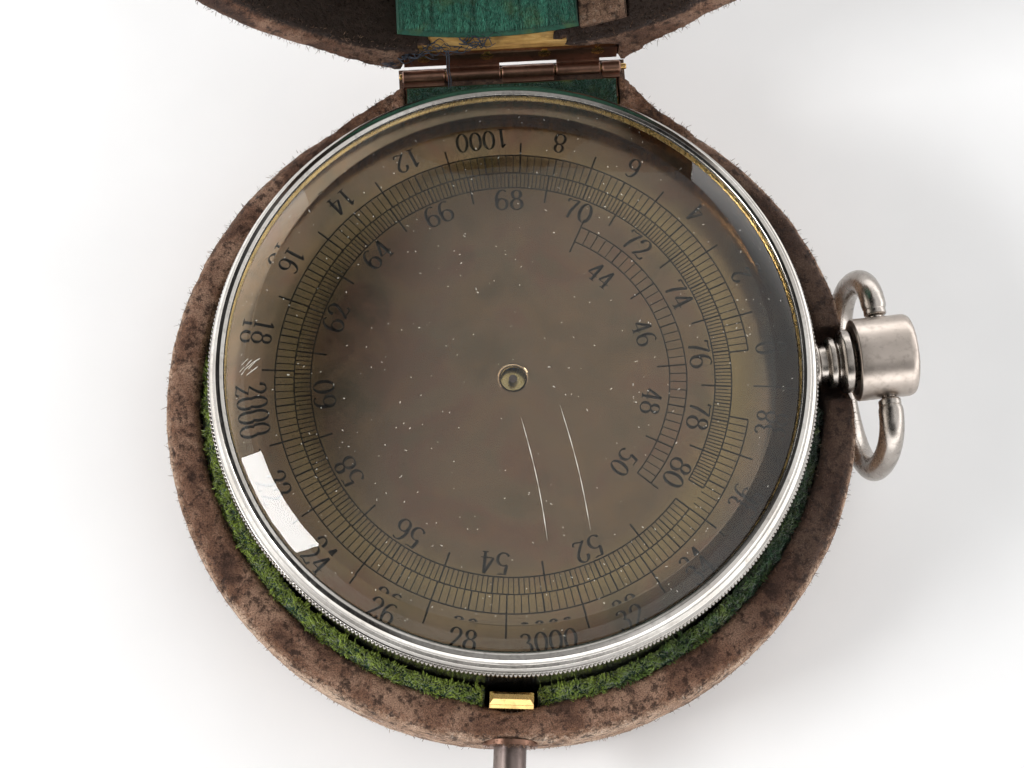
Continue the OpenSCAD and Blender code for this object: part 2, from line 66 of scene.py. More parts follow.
HU = np.array([math.cos(YAW), math.sin(YAW), 0.0])
HV = np.array([-math.sin(YAW), math.cos(YAW), 0.0])


def opened(P):      # shut place -> open place
    return rot_about(P, HP, HU, -OPEN)


def shut(P):        # open place -> shut place
    return rot_about(P, HP, HU, OPEN)


def hinge_pt(P):    # hinge frame -> row frame
    P = np.asarray(P, float).reshape(-1, 3)
    return HP + P[:, :1] * HU + P[:, 1:2] * HV + P[:, 2:3] * np.array([0, 0, 1.0])


def to_inst(P):     # instrument frame -> row frame
    P = np.asarray(P, float).reshape(-1, 3); c, s = math.cos(AZ), math.sin(AZ)
    return np.stack([P[:, 0] * c - P[:, 1] * s, P[:, 0] * s + P[:, 1] * c, P[:, 2]], -1)


# ------------------------------------------------------------------ noise
def _hash(ix, iy, iz, seed):
    h = (ix.astype(np.int64) * 374761393 + iy.astype(np.int64) * 668265263 + iz.astype(np.int64) * 2147483647 + seed * 974634777) & 0xFFFFFFFF
    h = ((h ^ (h >> 13)) * 1274126177) & 0xFFFFFFFF
    h = ((h ^ (h >> 16)) * 2246822519) & 0xFFFFFFFF
    return ((h ^ (h >> 13)) & 0xFFFFFF) / float(0xFFFFFF)


def vnoise(P, scale, seed=0):
    """smooth value noise in -1..1; scale is the feature size in mm."""
    Q = np.asarray(P, float) / scale
    i = np.floor(Q); f = Q - i; i = i.astype(np.int64); f = f * f * (3 - 2 * f)
    out = 0
    for dx in (0, 1):
        for dy in (0, 1):
            for dz in (0, 1):
                w = (f[:, 0] if dx else 1 - f[:, 0]) * (f[:, 1] if dy else 1 - f[:, 1]) * (f[:, 2] if dz else 1 - f[:, 2])
                out = out + w * _hash(i[:, 0] + dx, i[:, 1] + dy, i[:, 2] + dz, seed)
    return out * 2 - 1


def fbm(P, scale, octaves=4, seed=0, gain=0.5):
    a, t, n = 1.0, 0.0, 0.0
    for k in range(octaves):
        t = t + a * vnoise(P, scale / 2 ** k, seed + 17 * k); n += a; a *= gain
    return t / n


# ------------------------------------------------------------------ mesh building
def make(name, V, polys, mat=None, body=None, smooth=True, sharp=30.0, replaces=(), colors=None):
    me = bpy.data.meshes.new(name)
    V = np.asarray(V, float) * MM
    me.vertices.add(len(V)); me.vertices.foreach_set("co", V.astype(np.float32).ravel())
    idx, start, s = [], [], 0
    for P in polys:
        P = np.asarray(P, np.int32)
        if not len(P): continue
        k = P.shape[1]; idx.append(P.ravel()); start.append(s + np.arange(len(P)) * k); s += P.size
    me.loops.add(s); me.loops.foreach_set("vertex_index", np.concatenate(idx))
    st = np.concatenate(start).astype(np.int32)
    me.polygons.add(len(st)); me.polygons.foreach_set("loop_start", st)
    me.update(calc_edges=True); me.validate()
    if smooth:
        me.shade_smooth()
        if sharp: me.set_sharp_from_angle(angle=math.radians(sharp))
    if colors is not None:
        for cn, C in colors.items():
            C = np.asarray(C, float)
            if C.ndim == 1: C = np.stack([C, C, C], -1)
            a = me.color_attributes.new(cn, "FLOAT_COLOR", "POINT")
            a.data.foreach_set("color", np.concatenate([C, np.ones((len(C), 1))], 1).astype(np.float32).ravel())
    o = bpy.data.objects.new(name, me); scene.collection.objects.link(o)
    if mat: me.materials.append(mat)
    if body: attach(o, body)
    if replaces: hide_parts(*replaces)
    return o


def soften(profile, r=0.1, n=3, closed=False):
    """profile with its corners rounded, so edges catch the light."""
    P = [np.array(p, float) for p in profile]; m = len(P); out = []
    for i in range(m):
        if not closed and i in (0, m - 1):
            out.append(P[i]); continue
        a, b, c = P[i - 1], P[i], P[(i + 1) % m]
        d1, d2 = a - b, c - b; l1, l2 = np.linalg.norm(d1), np.linalg.norm(d2)
        if l1 < 1e-9 or l2 < 1e-9: continue
        d1, d2 = d1 / l1, d2 / l2
        if np.dot(d1, -d2) > 0.985: out.append(b); continue
        q = min(r, 0.42 * l1, 0.42 * l2)
        for t in np.linspace(0, 1, n + 1):
            out.append((1 - t) ** 2 * (b + d1 * q) + 2 * t * (1 - t) * b + t * t * (b + d2 * q))
    return out


def lathe(profile, segs=256, closed=False, wob=None):
    """revolve (r, z) points about z. Returns V, [quads, tris]."""
    V, rows = [], []; th = np.linspace(0, 2 * np.pi, segs, endpoint=False)
    for (r, z) in profile:
        if r < 1e-6:
            rows.append(("p", len(V))); V.append((0, 0, z))
        else:
            rr = r + (wob(r, z, th) if wob else 0); rows.append(("r", len(V)))
            V.extend(np.stack([rr * np.cos(th), rr * np.sin(th), np.full(segs, z)], -1).tolist())
    Q, T = [], []; k = np.arange(segs); k2 = (k + 1) % segs
    pairs = list(zip(rows[:-1], rows[1:])) + ([(rows[-1], rows[0])] if closed else [])
    for (ta, a), (tb, b) in pairs:
        if ta == "r" and tb == "r": Q.append(np.stack([a + k, a + k2, b + k2, b + k], -1))
        elif ta == "p" and tb == "r": T.append(np.stack([np.full(segs, a), b + k2, b + k], -1))
        elif ta == "r" and tb == "p": T.append(np.stack([a + k, a + k2, np.full(segs, b)], -1))
    return np.array(V, float), [np.concatenate(Q) if Q else np.zeros((0, 4), int), np.concatenate(T) if T else np.zeros((0, 3), int)]


def tube(path, r, n=24, closed=False, up=(0, 0, 1.0)):
    """round tube along a 3-D path; r may be one number or one per point. Ends are capped."""
    path = np.asarray(path, float); m = len(path); r = np.broadcast_to(np.asarray(r, float), (m,))
    T = np.gradient(path, axis=0); T /= np.linalg.norm(T, axis=1)[:, None]
    N0 = np.cross(T[0], up); N0 = N0 / np.linalg.norm(N0) if np.linalg.norm(N0) > 1e-6 else np.cross(T[0], (1, 0, 0))
    Ns = [N0]
    for i in range(1, m):
        v = Ns[-1] - T[i] * np.dot(Ns[-1], T[i]); Ns.append(v / np.linalg.norm(v))
    Ns = np.array(Ns); B = np.cross(T, Ns)
    a = np.linspace(0, 2 * np.pi, n, endpoint=False)
    V = path[:, None, :] + r[:, None, None] * (np.cos(a)[None, :, None] * Ns[:, None, :] + np.sin(a)[None, :, None] * B[:, None, :])
    V = V.reshape(-1, 3); k = np.arange(n); k2 = (k + 1) % n
    Q = np.concatenate([np.stack([i * n + k, i * n + k2, (i + 1) * n + k2, (i + 1) * n + k], -1) for i in range(m - 1)])
    V = np.concatenate([V, path[:1], path[-1:]]); c0, c1 = len(V) - 2, len(V) - 1
    Tt = np.concatenate([np.stack([np.full(n, c0), k2, k], -1), np.stack([np.full(n, c1), (m - 1) * n + k, (m - 1) * n + k2], -1)])
    return V, [Q, Tt]


def join(parts):
    """several (V, [polys]) as one."""
    V, by = [], {}; off = 0
    for v, ps in parts:
        for P in ps:
            P = np.asarray(P)
            if len(P): by.setdefault(P.shape[1], []).append(P + off)
        V.append(np.asarray(v, float)); off += len(v)
    return np.concatenate(V), [np.concatenate(x) for x in by.values()]


def turned(V, axis_x=False):
    """a lathe about z laid along +x (z -> x)."""
    V = np.asarray(V, float)
    return np.stack([V[:, 2], V[:, 1], -V[:, 0]], -1)


def rbox(a, b, bev=0.06):
    """a box with small chamfered edges, closed."""
    a, b = np.array(a, float), np.array(b, float); c = (a + b) / 2; h = (b - a) / 2
    bm = bmesh.new(); bmesh.ops.create_cube(bm, size=2.0)
    for v in bm.verts: v.co = Vector(c + np.array(v.co) * h)
    bev = min(bev, 0.45 * h.min() * 2 * 0.45)
    bmesh.ops.bevel(bm, geom=list(bm.edges), offset=bev, segments=2, profile=0.6, affect="EDGES")
    bm.verts.ensure_lookup_table()
    V = np.array([v.co[:] for v in bm.verts]); polys = {}
    for f in bm.faces: polys.setdefault(len(f.verts), []).append([v.index for v in f.verts])
    bm.free()
    return V, [np.array(p) for p in polys.values()]


# ------------------------------------------------------------------ materials
def node(nt, kind, ins=None, **props):
    n = nt.nodes.new(kind)
    for k, v in props.items(): setattr(n, k, v)
    for k, v in (ins or {}).items():
        if isinstance(v, bpy.types.NodeSocket): nt.links.new(v, n.inputs[k])
        else: n.inputs[k].default_value = v
    return n


class M:
    """small helper that writes a material's nodes."""
    def __init__(self, name, slot=None):
        self.m = bpy.data.materials.new(name); self.m.use_nodes = True
        self.nt = self.m.node_tree; self.nt.nodes.clear()
        self.out = self.nt.nodes.new("ShaderNodeOutputMaterial")
        self.p = self.nt.nodes.new("ShaderNodeBsdfPrincipled")
        self.nt.links.new(self.p.outputs[0], self.out.inputs[0])
        self.co = node(self.nt, "ShaderNodeTexCoord").outputs["Object"]
        self.bumps = None

    def scaled(self, s, rot=(0, 0, 0)):
        return node(self.nt, "ShaderNodeMapping", {"Vector": self.co, "Scale": s, "Rotation": rot}).outputs[0]

    def noise(self, size_mm, detail=4.0, rough=0.55, vec=None, dist=0.0, kind="FBM"):
        return node(self.nt, "ShaderNodeTexNoise", {"Vector": vec or self.co, "Scale": 1000.0 / size_mm, "Detail": detail, "Roughness": rough, "Distortion": dist}, noise_type=kind).outputs[0]

    def voro(self, size_mm, feature="F1", vec=None, rand=1.0):
        return node(self.nt, "ShaderNodeTexVoronoi", {"Vector": vec or self.co, "Scale": 1000.0 / size_mm, "Randomness": rand}, feature=feature).outputs["Distance"]

    def ramp(self, fac, stops, interp="LINEAR"):
        r = node(self.nt, "ShaderNodeValToRGB", {"Fac": fac}); cr = r.color_ramp; cr.interpolation = interp
        while len(cr.elements) > 1: cr.elements.remove(cr.elements[-1])
        for i, (p, c) in enumerate(stops):
            e = cr.elements[0] if i == 0 else cr.elements.new(p)
            e.position = p; c = c if hasattr(c, "__len__") else (c, c, c); e.color = (*c[:3], 1)
        return r.outputs[0]

    def mix(self, fac, a, b, mode="MIX"):
        n = node(self.nt, "ShaderNodeMix", data_type="RGBA", blend_type=mode)
        for i, v in ((0, fac), (6, a), (7, b)):
            if isinstance(v, bpy.types.NodeSocket): self.nt.links.new(v, n.inputs[i])
            elif i == 0: n.inputs[i].default_value = v
            else: n.inputs[i].default_value = (*v[:3], 1)
        return n.outputs[2]

    def math(self, op, a, b=0.0, clamp=False):
        n = node(self.nt, "ShaderNodeMath", operation=op, use_clamp=clamp)
        for i, v in ((0, a), (1, b)):
            if isinstance(v, bpy.types.NodeSocket): self.nt.links.new(v, n.inputs[i])
            else: n.inputs[i].default_value = v
        return n.outputs[0]

    def attr(self, name):
        return node(self.nt, "ShaderNodeAttribute", attribute_name=name).outputs["Color"]

    def xyz(self):
        return node(self.nt, "ShaderNodeSeparateXYZ", {"Vector": self.co}).outputs

    def bump(self, h, strength=0.3, dist_mm=0.1):
        ins = {"Height": h, "Strength": strength, "Distance": dist_mm * MM}
        if self.bumps is not None: ins["Normal"] = self.bumps
        self.bumps = node(self.nt, "ShaderNodeBump", ins).outputs[0]

    def done(self, color, rough, metal=0.0, **socks):
        def put(k, v):
            if isinstance(v, bpy.types.NodeSocket): self.nt.links.new(v, self.p.inputs[k])
            elif hasattr(v, "__len__"): self.p.inputs[k].default_value = (*v[:3], 1)
            else: self.p.inputs[k].default_value = v
        put("Base Color", color); put("Roughness", rough); put("Metallic", metal)
        for k, v in socks.items(): put(k.replace("_", " "), v)
        if self.bumps is not None: self.nt.links.new(self.bumps, self.p.inputs["Normal"])
        return self.m


def metal(name, light, dark, r0, r1, pits=0.5, tarnish=0.4, scratch=0.12, grime=(0.05, 0.04, 0.03)):
    m = M(name)
    big = m.noise(9.0, 5, 0.6, dist=0.4); fine = m.noise(0.9, 4, 0.6)
    c = m.mix(m.ramp(big, [(0.36, 0.0), (0.66, 1.0)]), light, dark)
    c = m.mix(m.math("MULTIPLY", m.ramp(fine, [(0.52, 0.0), (0.72, 1.0)]), tarnish), c, grime)
    pit = m.ramp(m.voro(0.7), [(0.0, 1.0), (0.10, 0.0)])
    gate = m.ramp(m.noise(3.0, 2), [(0.5, 0.0), (0.62, 1.0)])
    pit = m.math("MULTIPLY", pit, gate)
    c = m.mix(m.math("MULTIPLY", pit, pits), c, grime)
    streak = m.noise(0.35, 3, 0.7, vec=m.scaled((1.0, 0.08, 1.0), (0.3, 0.2, 0.7)))
    rough = m.ramp(m.math("ADD", m.math("MULTIPLY", fine, 0.6), m.math("MULTIPLY", streak, 0.4)), [(0.3, r0), (0.75, r1)])
    m.bump(streak, scratch, 0.02); m.bump(m.math("SUBTRACT", 1.0, pit), 0.5 * pits, 0.05)
    m.bump(m.noise(4.0, 2), 0.10, 0.15)
    return m.done(c, rough, 1.0)


nickel = metal("nickel_worn", (0.56, 0.535, 0.50), (0.42, 0.39, 0.355), 0.10, 0.26, pits=0.35, tarnish=0.25, scratch=0.10)
nickel_bow = metal("nickel_bow", (0.44, 0.40, 0.365), (0.30, 0.27, 0.24), 0.18, 0.36, pits=0.5, tarnish=0.3, scratch=0.15)
nickel_cap = metal("nickel_pitted", (0.52, 0.455, 0.405), (0.37, 0.32, 0.28), 0.26, 0.44, pits=0.85, tarnish=0.25, scratch=0.22)
nickel_dull = metal("nickel_dull", (0.50, 0.48, 0.44), (0.34, 0.32, 0.29), 0.28, 0.5, pits=0.5, tarnish=0.5)
brass = metal("brass_worn", (0.66, 0.44, 0.17), (0.40, 0.25, 0.09), 0.18, 0.38, pits=0.4, tarnish=0.35)
brass_clean = metal("brass_movement", (0.83, 0.66, 0.34), (0.70, 0.52, 0.24), 0.16, 0.30, pits=0.15, tarnish=0.12)
copper = metal("copper_brown", (0.30, 0.165, 0.115), (0.15, 0.085, 0.062), 0.28, 0.5, pits=0.5, tarnish=0.5)
steel = metal("steel_bright", (0.56, 0.57, 0.60), (0.42, 0.43, 0.47), 0.14, 0.30, pits=0.2, tarnish=0.15)
steel_dark = metal("steel_browned", (0.20, 0.16, 0.145), (0.10, 0.075, 0.07), 0.26, 0.48, pits=0.6, tarnish=0.5)
blued = metal("steel_blued", (0.10, 0.15, 0.32), (0.06, 0.08, 0.2), 0.2, 0.35, pits=0.2, tarnish=0.2)
capsule_m = metal("capsule_nickel_silver", (0.75, 0.71, 0.60), (0.60, 0.56, 0.45), 0.2, 0.38, pits=0.2, tarnish=0.2)


def leather(name, k=1.0):
    """worn suede-like leather. Attribute zone: r = outer wall, g = worn edge, b = inside of the lid."""
    m = M(name)
    z = node(m.nt, "ShaderNodeSeparateColor", {"Color": m.attr("zone")}).outputs
    a = m.noise(7.0, 6, 0.62, dist=0.6); b = m.noise(0.55, 5, 0.7); f = m.noise(0.16, 3, 0.7)
    top = m.ramp(a, [(0.34, (0.060 * k, 0.030 * k, 0.020 * k)), (0.47, (0.19 * k, 0.098 * k, 0.062 * k)), (0.60, (0.34 * k, 0.205 * k, 0.140 * k))])
    tan = m.ramp(a, [(0.34, (0.17 * k, 0.092 * k, 0.056 * k)), (0.48, (0.42 * k, 0.265 * k, 0.175 * k)), (0.62, (0.60 * k, 0.43 * k, 0.31 * k))])
    c = m.mix(z[0], top, tan)
    edge = m.ramp(b, [(0.35, (0.21, 0.095, 0.042)), (0.7, (0.12, 0.052, 0.028))])
    c = m.mix(m.math("MULTIPLY", z[1], m.ramp(b, [(0.42, 0.0), (0.6, 0.9)])), c, edge)
    # inside of the lid: near-black, the lining's dark leather deepened by painted shade
    c = m.mix(z[2], c, m.ramp(b, [(0.35, (0.014, 0.008, 0.006)), (0.62, (0.048, 0.028, 0.020))]))
    c = m.mix(m.ramp(f, [(0.35, 0.75), (0.60, 0.0)]), c, (0.016, 0.008, 0.006))
    c = m.mix(m.ramp(m.noise(1.3, 5, 0.75), [(0.40, 0.85), (0.50, 0.0)]), c, (0.020, 0.010, 0.007))
    sp = m.math("MULTIPLY", m.ramp(m.voro(1.5, vec=None), [(0.06, 1.0), (0.17, 0.0)]), m.ramp(m.noise(5.0, 2), [(0.48, 0.0), (0.6, 1.0)]))
    c = m.mix(m.math("MULTIPLY", sp, 0.85), c, (0.012, 0.008, 0.010))
    c = m.mix(m.math("MULTIPLY", m.ramp(m.noise(0.5, 2, vec=m.scaled((1, 1, 0.16))), [(0.60, 0.0), (0.72, 0.5)]), z[0]), c, (0.55, 0.45, 0.36))
    if name == "leather_case":
        # painted shade: the side towards the pendant, away from the softbox at the left, is darkened by its position
        xx = m.xyz()
        side = m.ramp(m.math("ADD", m.math("ADD", m.math("MULTIPLY", xx[0], 9.0), xx[1]), m.math("MULTIPLY", m.math("SUBTRACT", a, 0.5), 0.2)), [(0.20, 0.0), (0.34, 0.75)])
        c = m.mix(m.math("MULTIPLY", side, m.math("SUBTRACT", 1.0, z[0])), c, (0.020, 0.013, 0.011))
    m.bump(b, 0.85, 0.22); m.bump(f, 0.6, 0.09); m.bump(a, 0.3, 0.5)
    rough = m.mix(z[2], m.ramp(b, [(0.3, 0.80), (0.7, 0.95)]), m.ramp(b, [(0.40, 0.22), (0.62, 0.62)]))
    return m.done(c, rough, 0.0, Sheen_Weight=0.03, Sheen_Roughness=0.5, Specular_IOR_Level=0.22)


leather_base = leather("leather_case"); leather_lid = leather("leather_lid", 0.92)


def pile(name, sheen=0.35):
    m = M(name)
    c = m.mix(m.ramp(m.noise(0.5, 3), [(0.35, 0.0), (0.65, 0.45)]), m.attr("tone"), (0.004, 0.018, 0.006))
    c = m.mix(m.ramp(m.noise(2.4, 2), [(0.55, 0.0), (0.75, 0.25)]), c, (0.20, 0.24, 0.03))
    m.bump(m.noise(0.14, 3), 0.5, 0.05)
    return m.done(c, m.ramp(m.noise(0.3, 2), [(0.3, 0.55), (0.7, 0.85)]), 0.0, Sheen_Weight=sheen, Sheen_Roughness=0.35, Specular_IOR_Level=0.4)


plush_m = pile("plush_green")


def wood(name):
    m = M(name)
    g = m.noise(0.6, 5, 0.65, vec=m.scaled((0.12, 1.0, 1.0)), dist=0.5); b = m.noise(2.5, 3)
    c = m.ramp(g, [(0.3, (0.24, 0.12, 0.035)), (0.52, (0.50, 0.29, 0.09)), (0.75, (0.66, 0.44, 0.18))])
    c = m.mix(m.ramp(b, [(0.5, 0.0), (0.7, 0.6)]), c, (0.12, 0.07, 0.03))
    m.bump(g, 0.4, 0.08)
    return m.done(c, m.ramp(g, [(0.3, 0.6), (0.7, 0.85)]), 0.0, Specular_IOR_Level=0.3)


wood_m = wood("ochre_board")


def dial_material():
    m = M("dial_silvered_tarnished")
    x = m.xyz()
    r = m.math("SQRT", m.math("ADD", m.math("MULTIPLY", x[0], x[0]), m.math("MULTIPLY", x[1], x[1])))
    a = m.noise(16.0, 5, 0.55, dist=1.2); b = m.noise(6.0, 5, 0.6, dist=0.8); f = m.noise(0.5, 4, 0.6)
    c = m.ramp(a, [(0.30, (0.22, 0.158, 0.100)), (0.42, (0.28, 0.192, 0.122)), (0.50, (0.31, 0.210, 0.137)), (0.60, (0.30, 0.175, 0.118)), (0.72, (0.25, 0.185, 0.115))])
    c = m.mix(m.ramp(b, [(0.50, 0.0), (0.66, 0.32)]), c, (0.40, 0.24, 0.125))
    c = m.mix(m.ramp(b, [(0.32, 0.30), (0.44, 0.0)]), c, (0.16, 0.155, 0.100))
    ring = m.ramp(r, [(0.0240, 0.0), (0.0252, 1.0), (0.0292, 1.0), (0.0298, 0.0)])
    c = m.mix(m.math("MULTIPLY", ring, 0.65), c, (0.50, 0.36, 0.17))
    c = m.mix(m.ramp(f, [(0.58, 0.0), (0.78, 0.5)]), c, (0.10, 0.075, 0.05))
    spots = m.math("MULTIPLY", m.ramp(m.voro(1.3), [(0.03, 1.0), (0.10, 0.0)]), m.ramp(m.noise(4.0, 2), [(0.5, 0.0), (0.6, 0.8)]))
    c = m.mix(spots, c, (0.09, 0.06, 0.035))
    rough = m.ramp(m.math("ADD", m.math("MULTIPLY", f, 0.5), m.math("MULTIPLY", b, 0.5)), [(0.35, 0.11), (0.65, 0.20)])
    m.bump(f, 0.10, 0.02); m.bump(m.noise(0.12, 3), 0.10, 0.01)
    return m.done(c, rough, 1.0)


dial_m = dial_material()


def ink():
    m = M("engraving_fill")
    c = m.ramp(m.noise(0.6, 3), [(0.35, (0.003, 0.0025, 0.002)), (0.7, (0.014, 0.010, 0.008))])
    m.bump(m.noise(0.1, 2), 0.2, 0.02)
    return m.done(c, m.ramp(m.noise(0.4, 2), [(0.3, 0.5), (0.7, 0.75)]), 0.0, Specular_IOR_Level=0.15)


ink_m = ink()


def glass_material():
    m = M("bevelled_crystal")
    sm = m.ramp(m.noise(5.0, 4, 0.6, dist=0.6), [(0.52, 0.0), (0.75, 0.045)])
    m.bump(m.noise(1.2, 3), 0.012, 0.02)
    m.done((0.965, 0.985, 0.965), sm, 0.0, Transmission_Weight=1.0, IOR=1.5)
    lp = node(m.nt, "ShaderNodeLightPath")
    tr = node(m.nt, "ShaderNodeBsdfTransparent", {"Color": (0.93, 0.95, 0.93, 1)})
    mx = node(m.nt, "ShaderNodeMixShader", {0: lp.outputs["Is Shadow Ray"], 1: m.p.outputs[0], 2: tr.outputs[0]})
    m.nt.links.new(mx.outputs[0], m.out.inputs[0])
    return m.m


glass_m = glass_material()


def simple(name, stops, size, r0, r1, bump=0.3, bsize=0.3):
    m = M(name); n = m.noise(size, 4)
    m.bump(m.noise(bsize, 3), bump, 0.05)
    return m.done(m.ramp(n, stops), m.ramp(n, [(0.3, r0), (0.7, r1)]))


thread_m = simple("frayed_thread", [(0.3, (0.012, 0.016, 0.026)), (0.7, (0.055, 0.065, 0.085))], 0.4, 0.7, 0.95)
dust_m = simple("dust", [(0.3, (0.55, 0.52, 0.45)), (0.7, (0.85, 0.83, 0.78))], 0.5, 0.7, 0.9)


# ------------------------------------------------------------------ small strands: pile, fibres
def unit(D):
    D = np.asarray(D, float); return D / np.maximum(np.linalg.norm(D, axis=1)[:, None], 1e-9)


def strands(P, D, L, R, bend, seed=0, sides=3):
    """Tapered closed strands standing at P along D; bend moves the tips. Returns V, polys, along (0 root .. 1 tip) and each vertex's strand."""
    P = np.asarray(P, float); n = len(P); D = unit(D); L = np.broadcast_to(L, (n,)); R = np.broadcast_to(R, (n,))
    ref = np.where(np.abs(D[:, 2:3]) > 0.8, np.array([[1.0, 0, 0]]), np.array([[0, 0, 1.0]]))
    A = unit(np.cross(D, ref)); B = np.cross(D, A)
    a = np.linspace(0, 2 * np.pi, sides, endpoint=False)
    def ring(c, r):
        return c[:, None, :] + r[:, None, None] * (np.cos(a)[None, :, None] * A[:, None, :] + np.sin(a)[None, :, None] * B[:, None, :])
    c0 = P - D * 0.08; c1 = P + D * (L * 0.5)[:, None] + bend * 0.3; c2 = P + D * (L * 0.85)[:, None] + bend * 0.8; tip = P + D * L[:, None] + bend * 1.1
    V = np.concatenate([ring(c0, R), ring(c1, R * 0.95), ring(c2, R * 0.6), tip[:, None, :]], 1)
    k = V.shape[1]; V = V.reshape(-1, 3); base = (np.arange(n) * k)[:, None]; s = sides
    Q = []
    for lvl in (0, 1):
        for j in range(s):
            j2 = (j + 1) % s; Q.append(base + np.array([[lvl * s + j, lvl * s + j2, (lvl + 1) * s + j2, (lvl + 1) * s + j]]))
    T = [base + np.array([[2 * s + j, 2 * s + (j + 1) % s, 3 * s]]) for j in range(s)] + [base + np.array([[0, 2, 1]])]
    along = np.tile(np.array([0.0] * s + [0.5] * s + [0.85] * s + [1.0]), n)
    return V, [np.concatenate(Q), np.concatenate(T)], along, np.repeat(np.arange(n), k)


def evaluated(obs, name, voxel):
    """CAD nodes fused (touching solids become one) and remeshed evenly. Returns V in mm, quads, normals."""
    bm_ = bmesh.new()
    for n in obs: bm_.from_mesh(nodes[n].data)
    jm = bpy.data.meshes.new("joined"); bm_.to_mesh(jm); bm_.free()
    a = bpy.data.objects.new("tmp_" + name, jm); scene.collection.objects.link(a); tmp = [a]
    m = a.modifiers.new("r", "REMESH"); m.mode = "VOXEL"; m.voxel_size = voxel * MM; m.adaptivity = 0.0
    dg = bpy.context.evaluated_depsgraph_get(); dg.update()
    me = bpy.data.meshes.new_from_object(a.evaluated_get(dg))
    V = np.empty(len(me.vertices) * 3, np.float32); me.vertices.foreach_get("co", V); V = V.reshape(-1, 3).astype(float) / MM
    F = np.empty(len(me.loops), np.int32); me.loops.foreach_get("vertex_index", F)
    tot = np.empty(len(me.polygons), np.int32); me.polygons.foreach_get("loop_total", tot)
    N = np.empty(len(me.vertices) * 3, np.float32); me.vertex_normals.foreach_get("vector", N); N = N.reshape(-1, 3).astype(float)
    st = np.concatenate([[0], np.cumsum(tot)[:-1]])
    polys = [F[st[tot == k][:, None] + np.arange(k)] for k in np.unique(tot)]
    for o in tmp: bpy.data.objects.remove(o)
    bpy.data.meshes.remove(me)
    return V, polys, N


def smooth01(x, a, b):
    t = np.clip((x - a) / (b - a), 0, 1); return t * t * (3 - 2 * t)


Q = 1.0


def bulge(P):
    """how far the leather stands out past its board core, mm, from a point in the shut place: most at the two sides, none at hinge, pin and pendant."""
    th = np.arctan2(P[:, 1], P[:, 0]); r = np.hypot(P[:, 0], P[:, 1])
    w = 0.22 + 0.78 * np.cos(th) ** 2
    w = w * (1 - np.exp(-((np.degrees(th) - math.degrees(AZ)) / 8.0) ** 2)) * (1 - np.exp(-((np.degrees(th) + 90 - math.degrees(LX / 43)) / 6.0) ** 2)) * (1 - smooth01(P[:, 1], 36.0, 40.5))
    return w * smooth01(r, 40.4, 42.2)

# ------------------------------------------------------------------ the case's lower half
V, polys, N = evaluated(["base_shell"], "base", 0.42 * Q)
r = np.hypot(V[:, 0], V[:, 1])
H = np.stack([(V - HP) @ HU, (V - HP) @ HV, V[:, 2] - HP[2]], -1)
pocket = (np.abs(H[:, 0]) < 15.6) & (H[:, 1] > -5.7) & (H[:, 1] < 1.0) & (V[:, 2] > 9.0)
near_pin = np.hypot(V[:, 0] - LX, V[:, 2] - 17.6) < 4.3
ca, sa = math.cos(AZ), math.sin(AZ)
lx = V[:, 0] * ca + V[:, 1] * sa; ly = -V[:, 0] * sa + V[:, 1] * ca
amp = np.where(r < 39.8, 0.12, 1.0) * np.where(pocket, 0.1, 1.0) * np.where(V[:, 2] < 0.4, 0.0, 1.0) * np.where(near_pin & (V[:, 1] < 0), 0.5, 1.0)
n1 = fbm(V, 5.0, 3, 3); n2 = fbm(V, 1.3, 3, 9); n3 = vnoise(V, 0.6, 21)
rim = smooth01(V[:, 2], 20.0, 21.6) * (r > 39.0)
d = amp * (0.13 * n1 + 0.10 * n2 + 0.05 * n3 - 0.08)
d = d - rim * amp * (0.10 + 0.22 * np.abs(n2))
V2 = V + N * d[:, None]
V2[:, :2] += V2[:, :2] / np.maximum(r, 1)[:, None] * (bulge(V) * smooth01(V[:, 2], 2.0, 9.0))[:, None]
V2[:, 2] -= rim * amp * np.clip(0.16 + 0.22 * n1, 0, 0.4)
front = np.clip(-V[:, 1] / np.maximum(r, 1), 0, 1) ** 0.8
lean_in = 1.15 * front * smooth01(V[:, 2], 18.5, 20.8) * (1 - smooth01(r, 40.8, 42.4)) * (r > 39.0) * (1 - np.exp(-((V[:, 0] - LX) / 3.6) ** 2) * (V[:, 1] < 0))
V2[:, :2] -= V2[:, :2] / np.maximum(r, 1)[:, None] * lean_in[:, None]
outer = smooth01(r, 42.0, 43.0) * (1 - smooth01(V[:, 2], 20.2, 21.6))
edge = smooth01(V[:, 2], 19.6, 20.8) * smooth01(r, 41.9, 42.8) * 0.9 + smooth01(V[:, 2], 21.0, 21.8) * (1 - smooth01(r, 40.2, 40.9)) * 0.6
case_low = make("case_leather_lower", V2, polys, leather_base, "case_base", sharp=None, replaces=["base_shell"],
                colors={"zone": np.stack([outer, np.clip(edge, 0, 1), np.zeros(len(V))], -1)})

# loose fibres along the worn rim
def rim_fibres(name, V, N, sel, count, body, mat, lmin=0.18, lmax=0.75, seed=5, zone=(0.25, 0.35, 0.0), lie=0.6):
    g = np.random.default_rng(seed); idx = np.flatnonzero(sel)
    idx = g.choice(idx, int(count / Q), replace=True)
    P = V[idx] + g.normal(0, 0.12, (len(idx), 3)); D = N[idx] + lie * g.normal(0, 1, (len(idx), 3))
    L = g.uniform(lmin, lmax, len(idx)) * g.uniform(0.4, 1.0, len(idx)); R = g.uniform(0.018, 0.045, len(idx))
    VV, PP, al, who = strands(P, D, L, R, g.normal(0, 0.16, (len(idx), 3)))
    tone = np.clip(np.array(zone)[None, :] + g.normal(0, 0.25, (len(idx), 1)), 0, 1)[who]
    tone[:, 2] = zone[2]
    return make(name, VV, PP, mat, body, sharp=None, colors={"zone": tone})


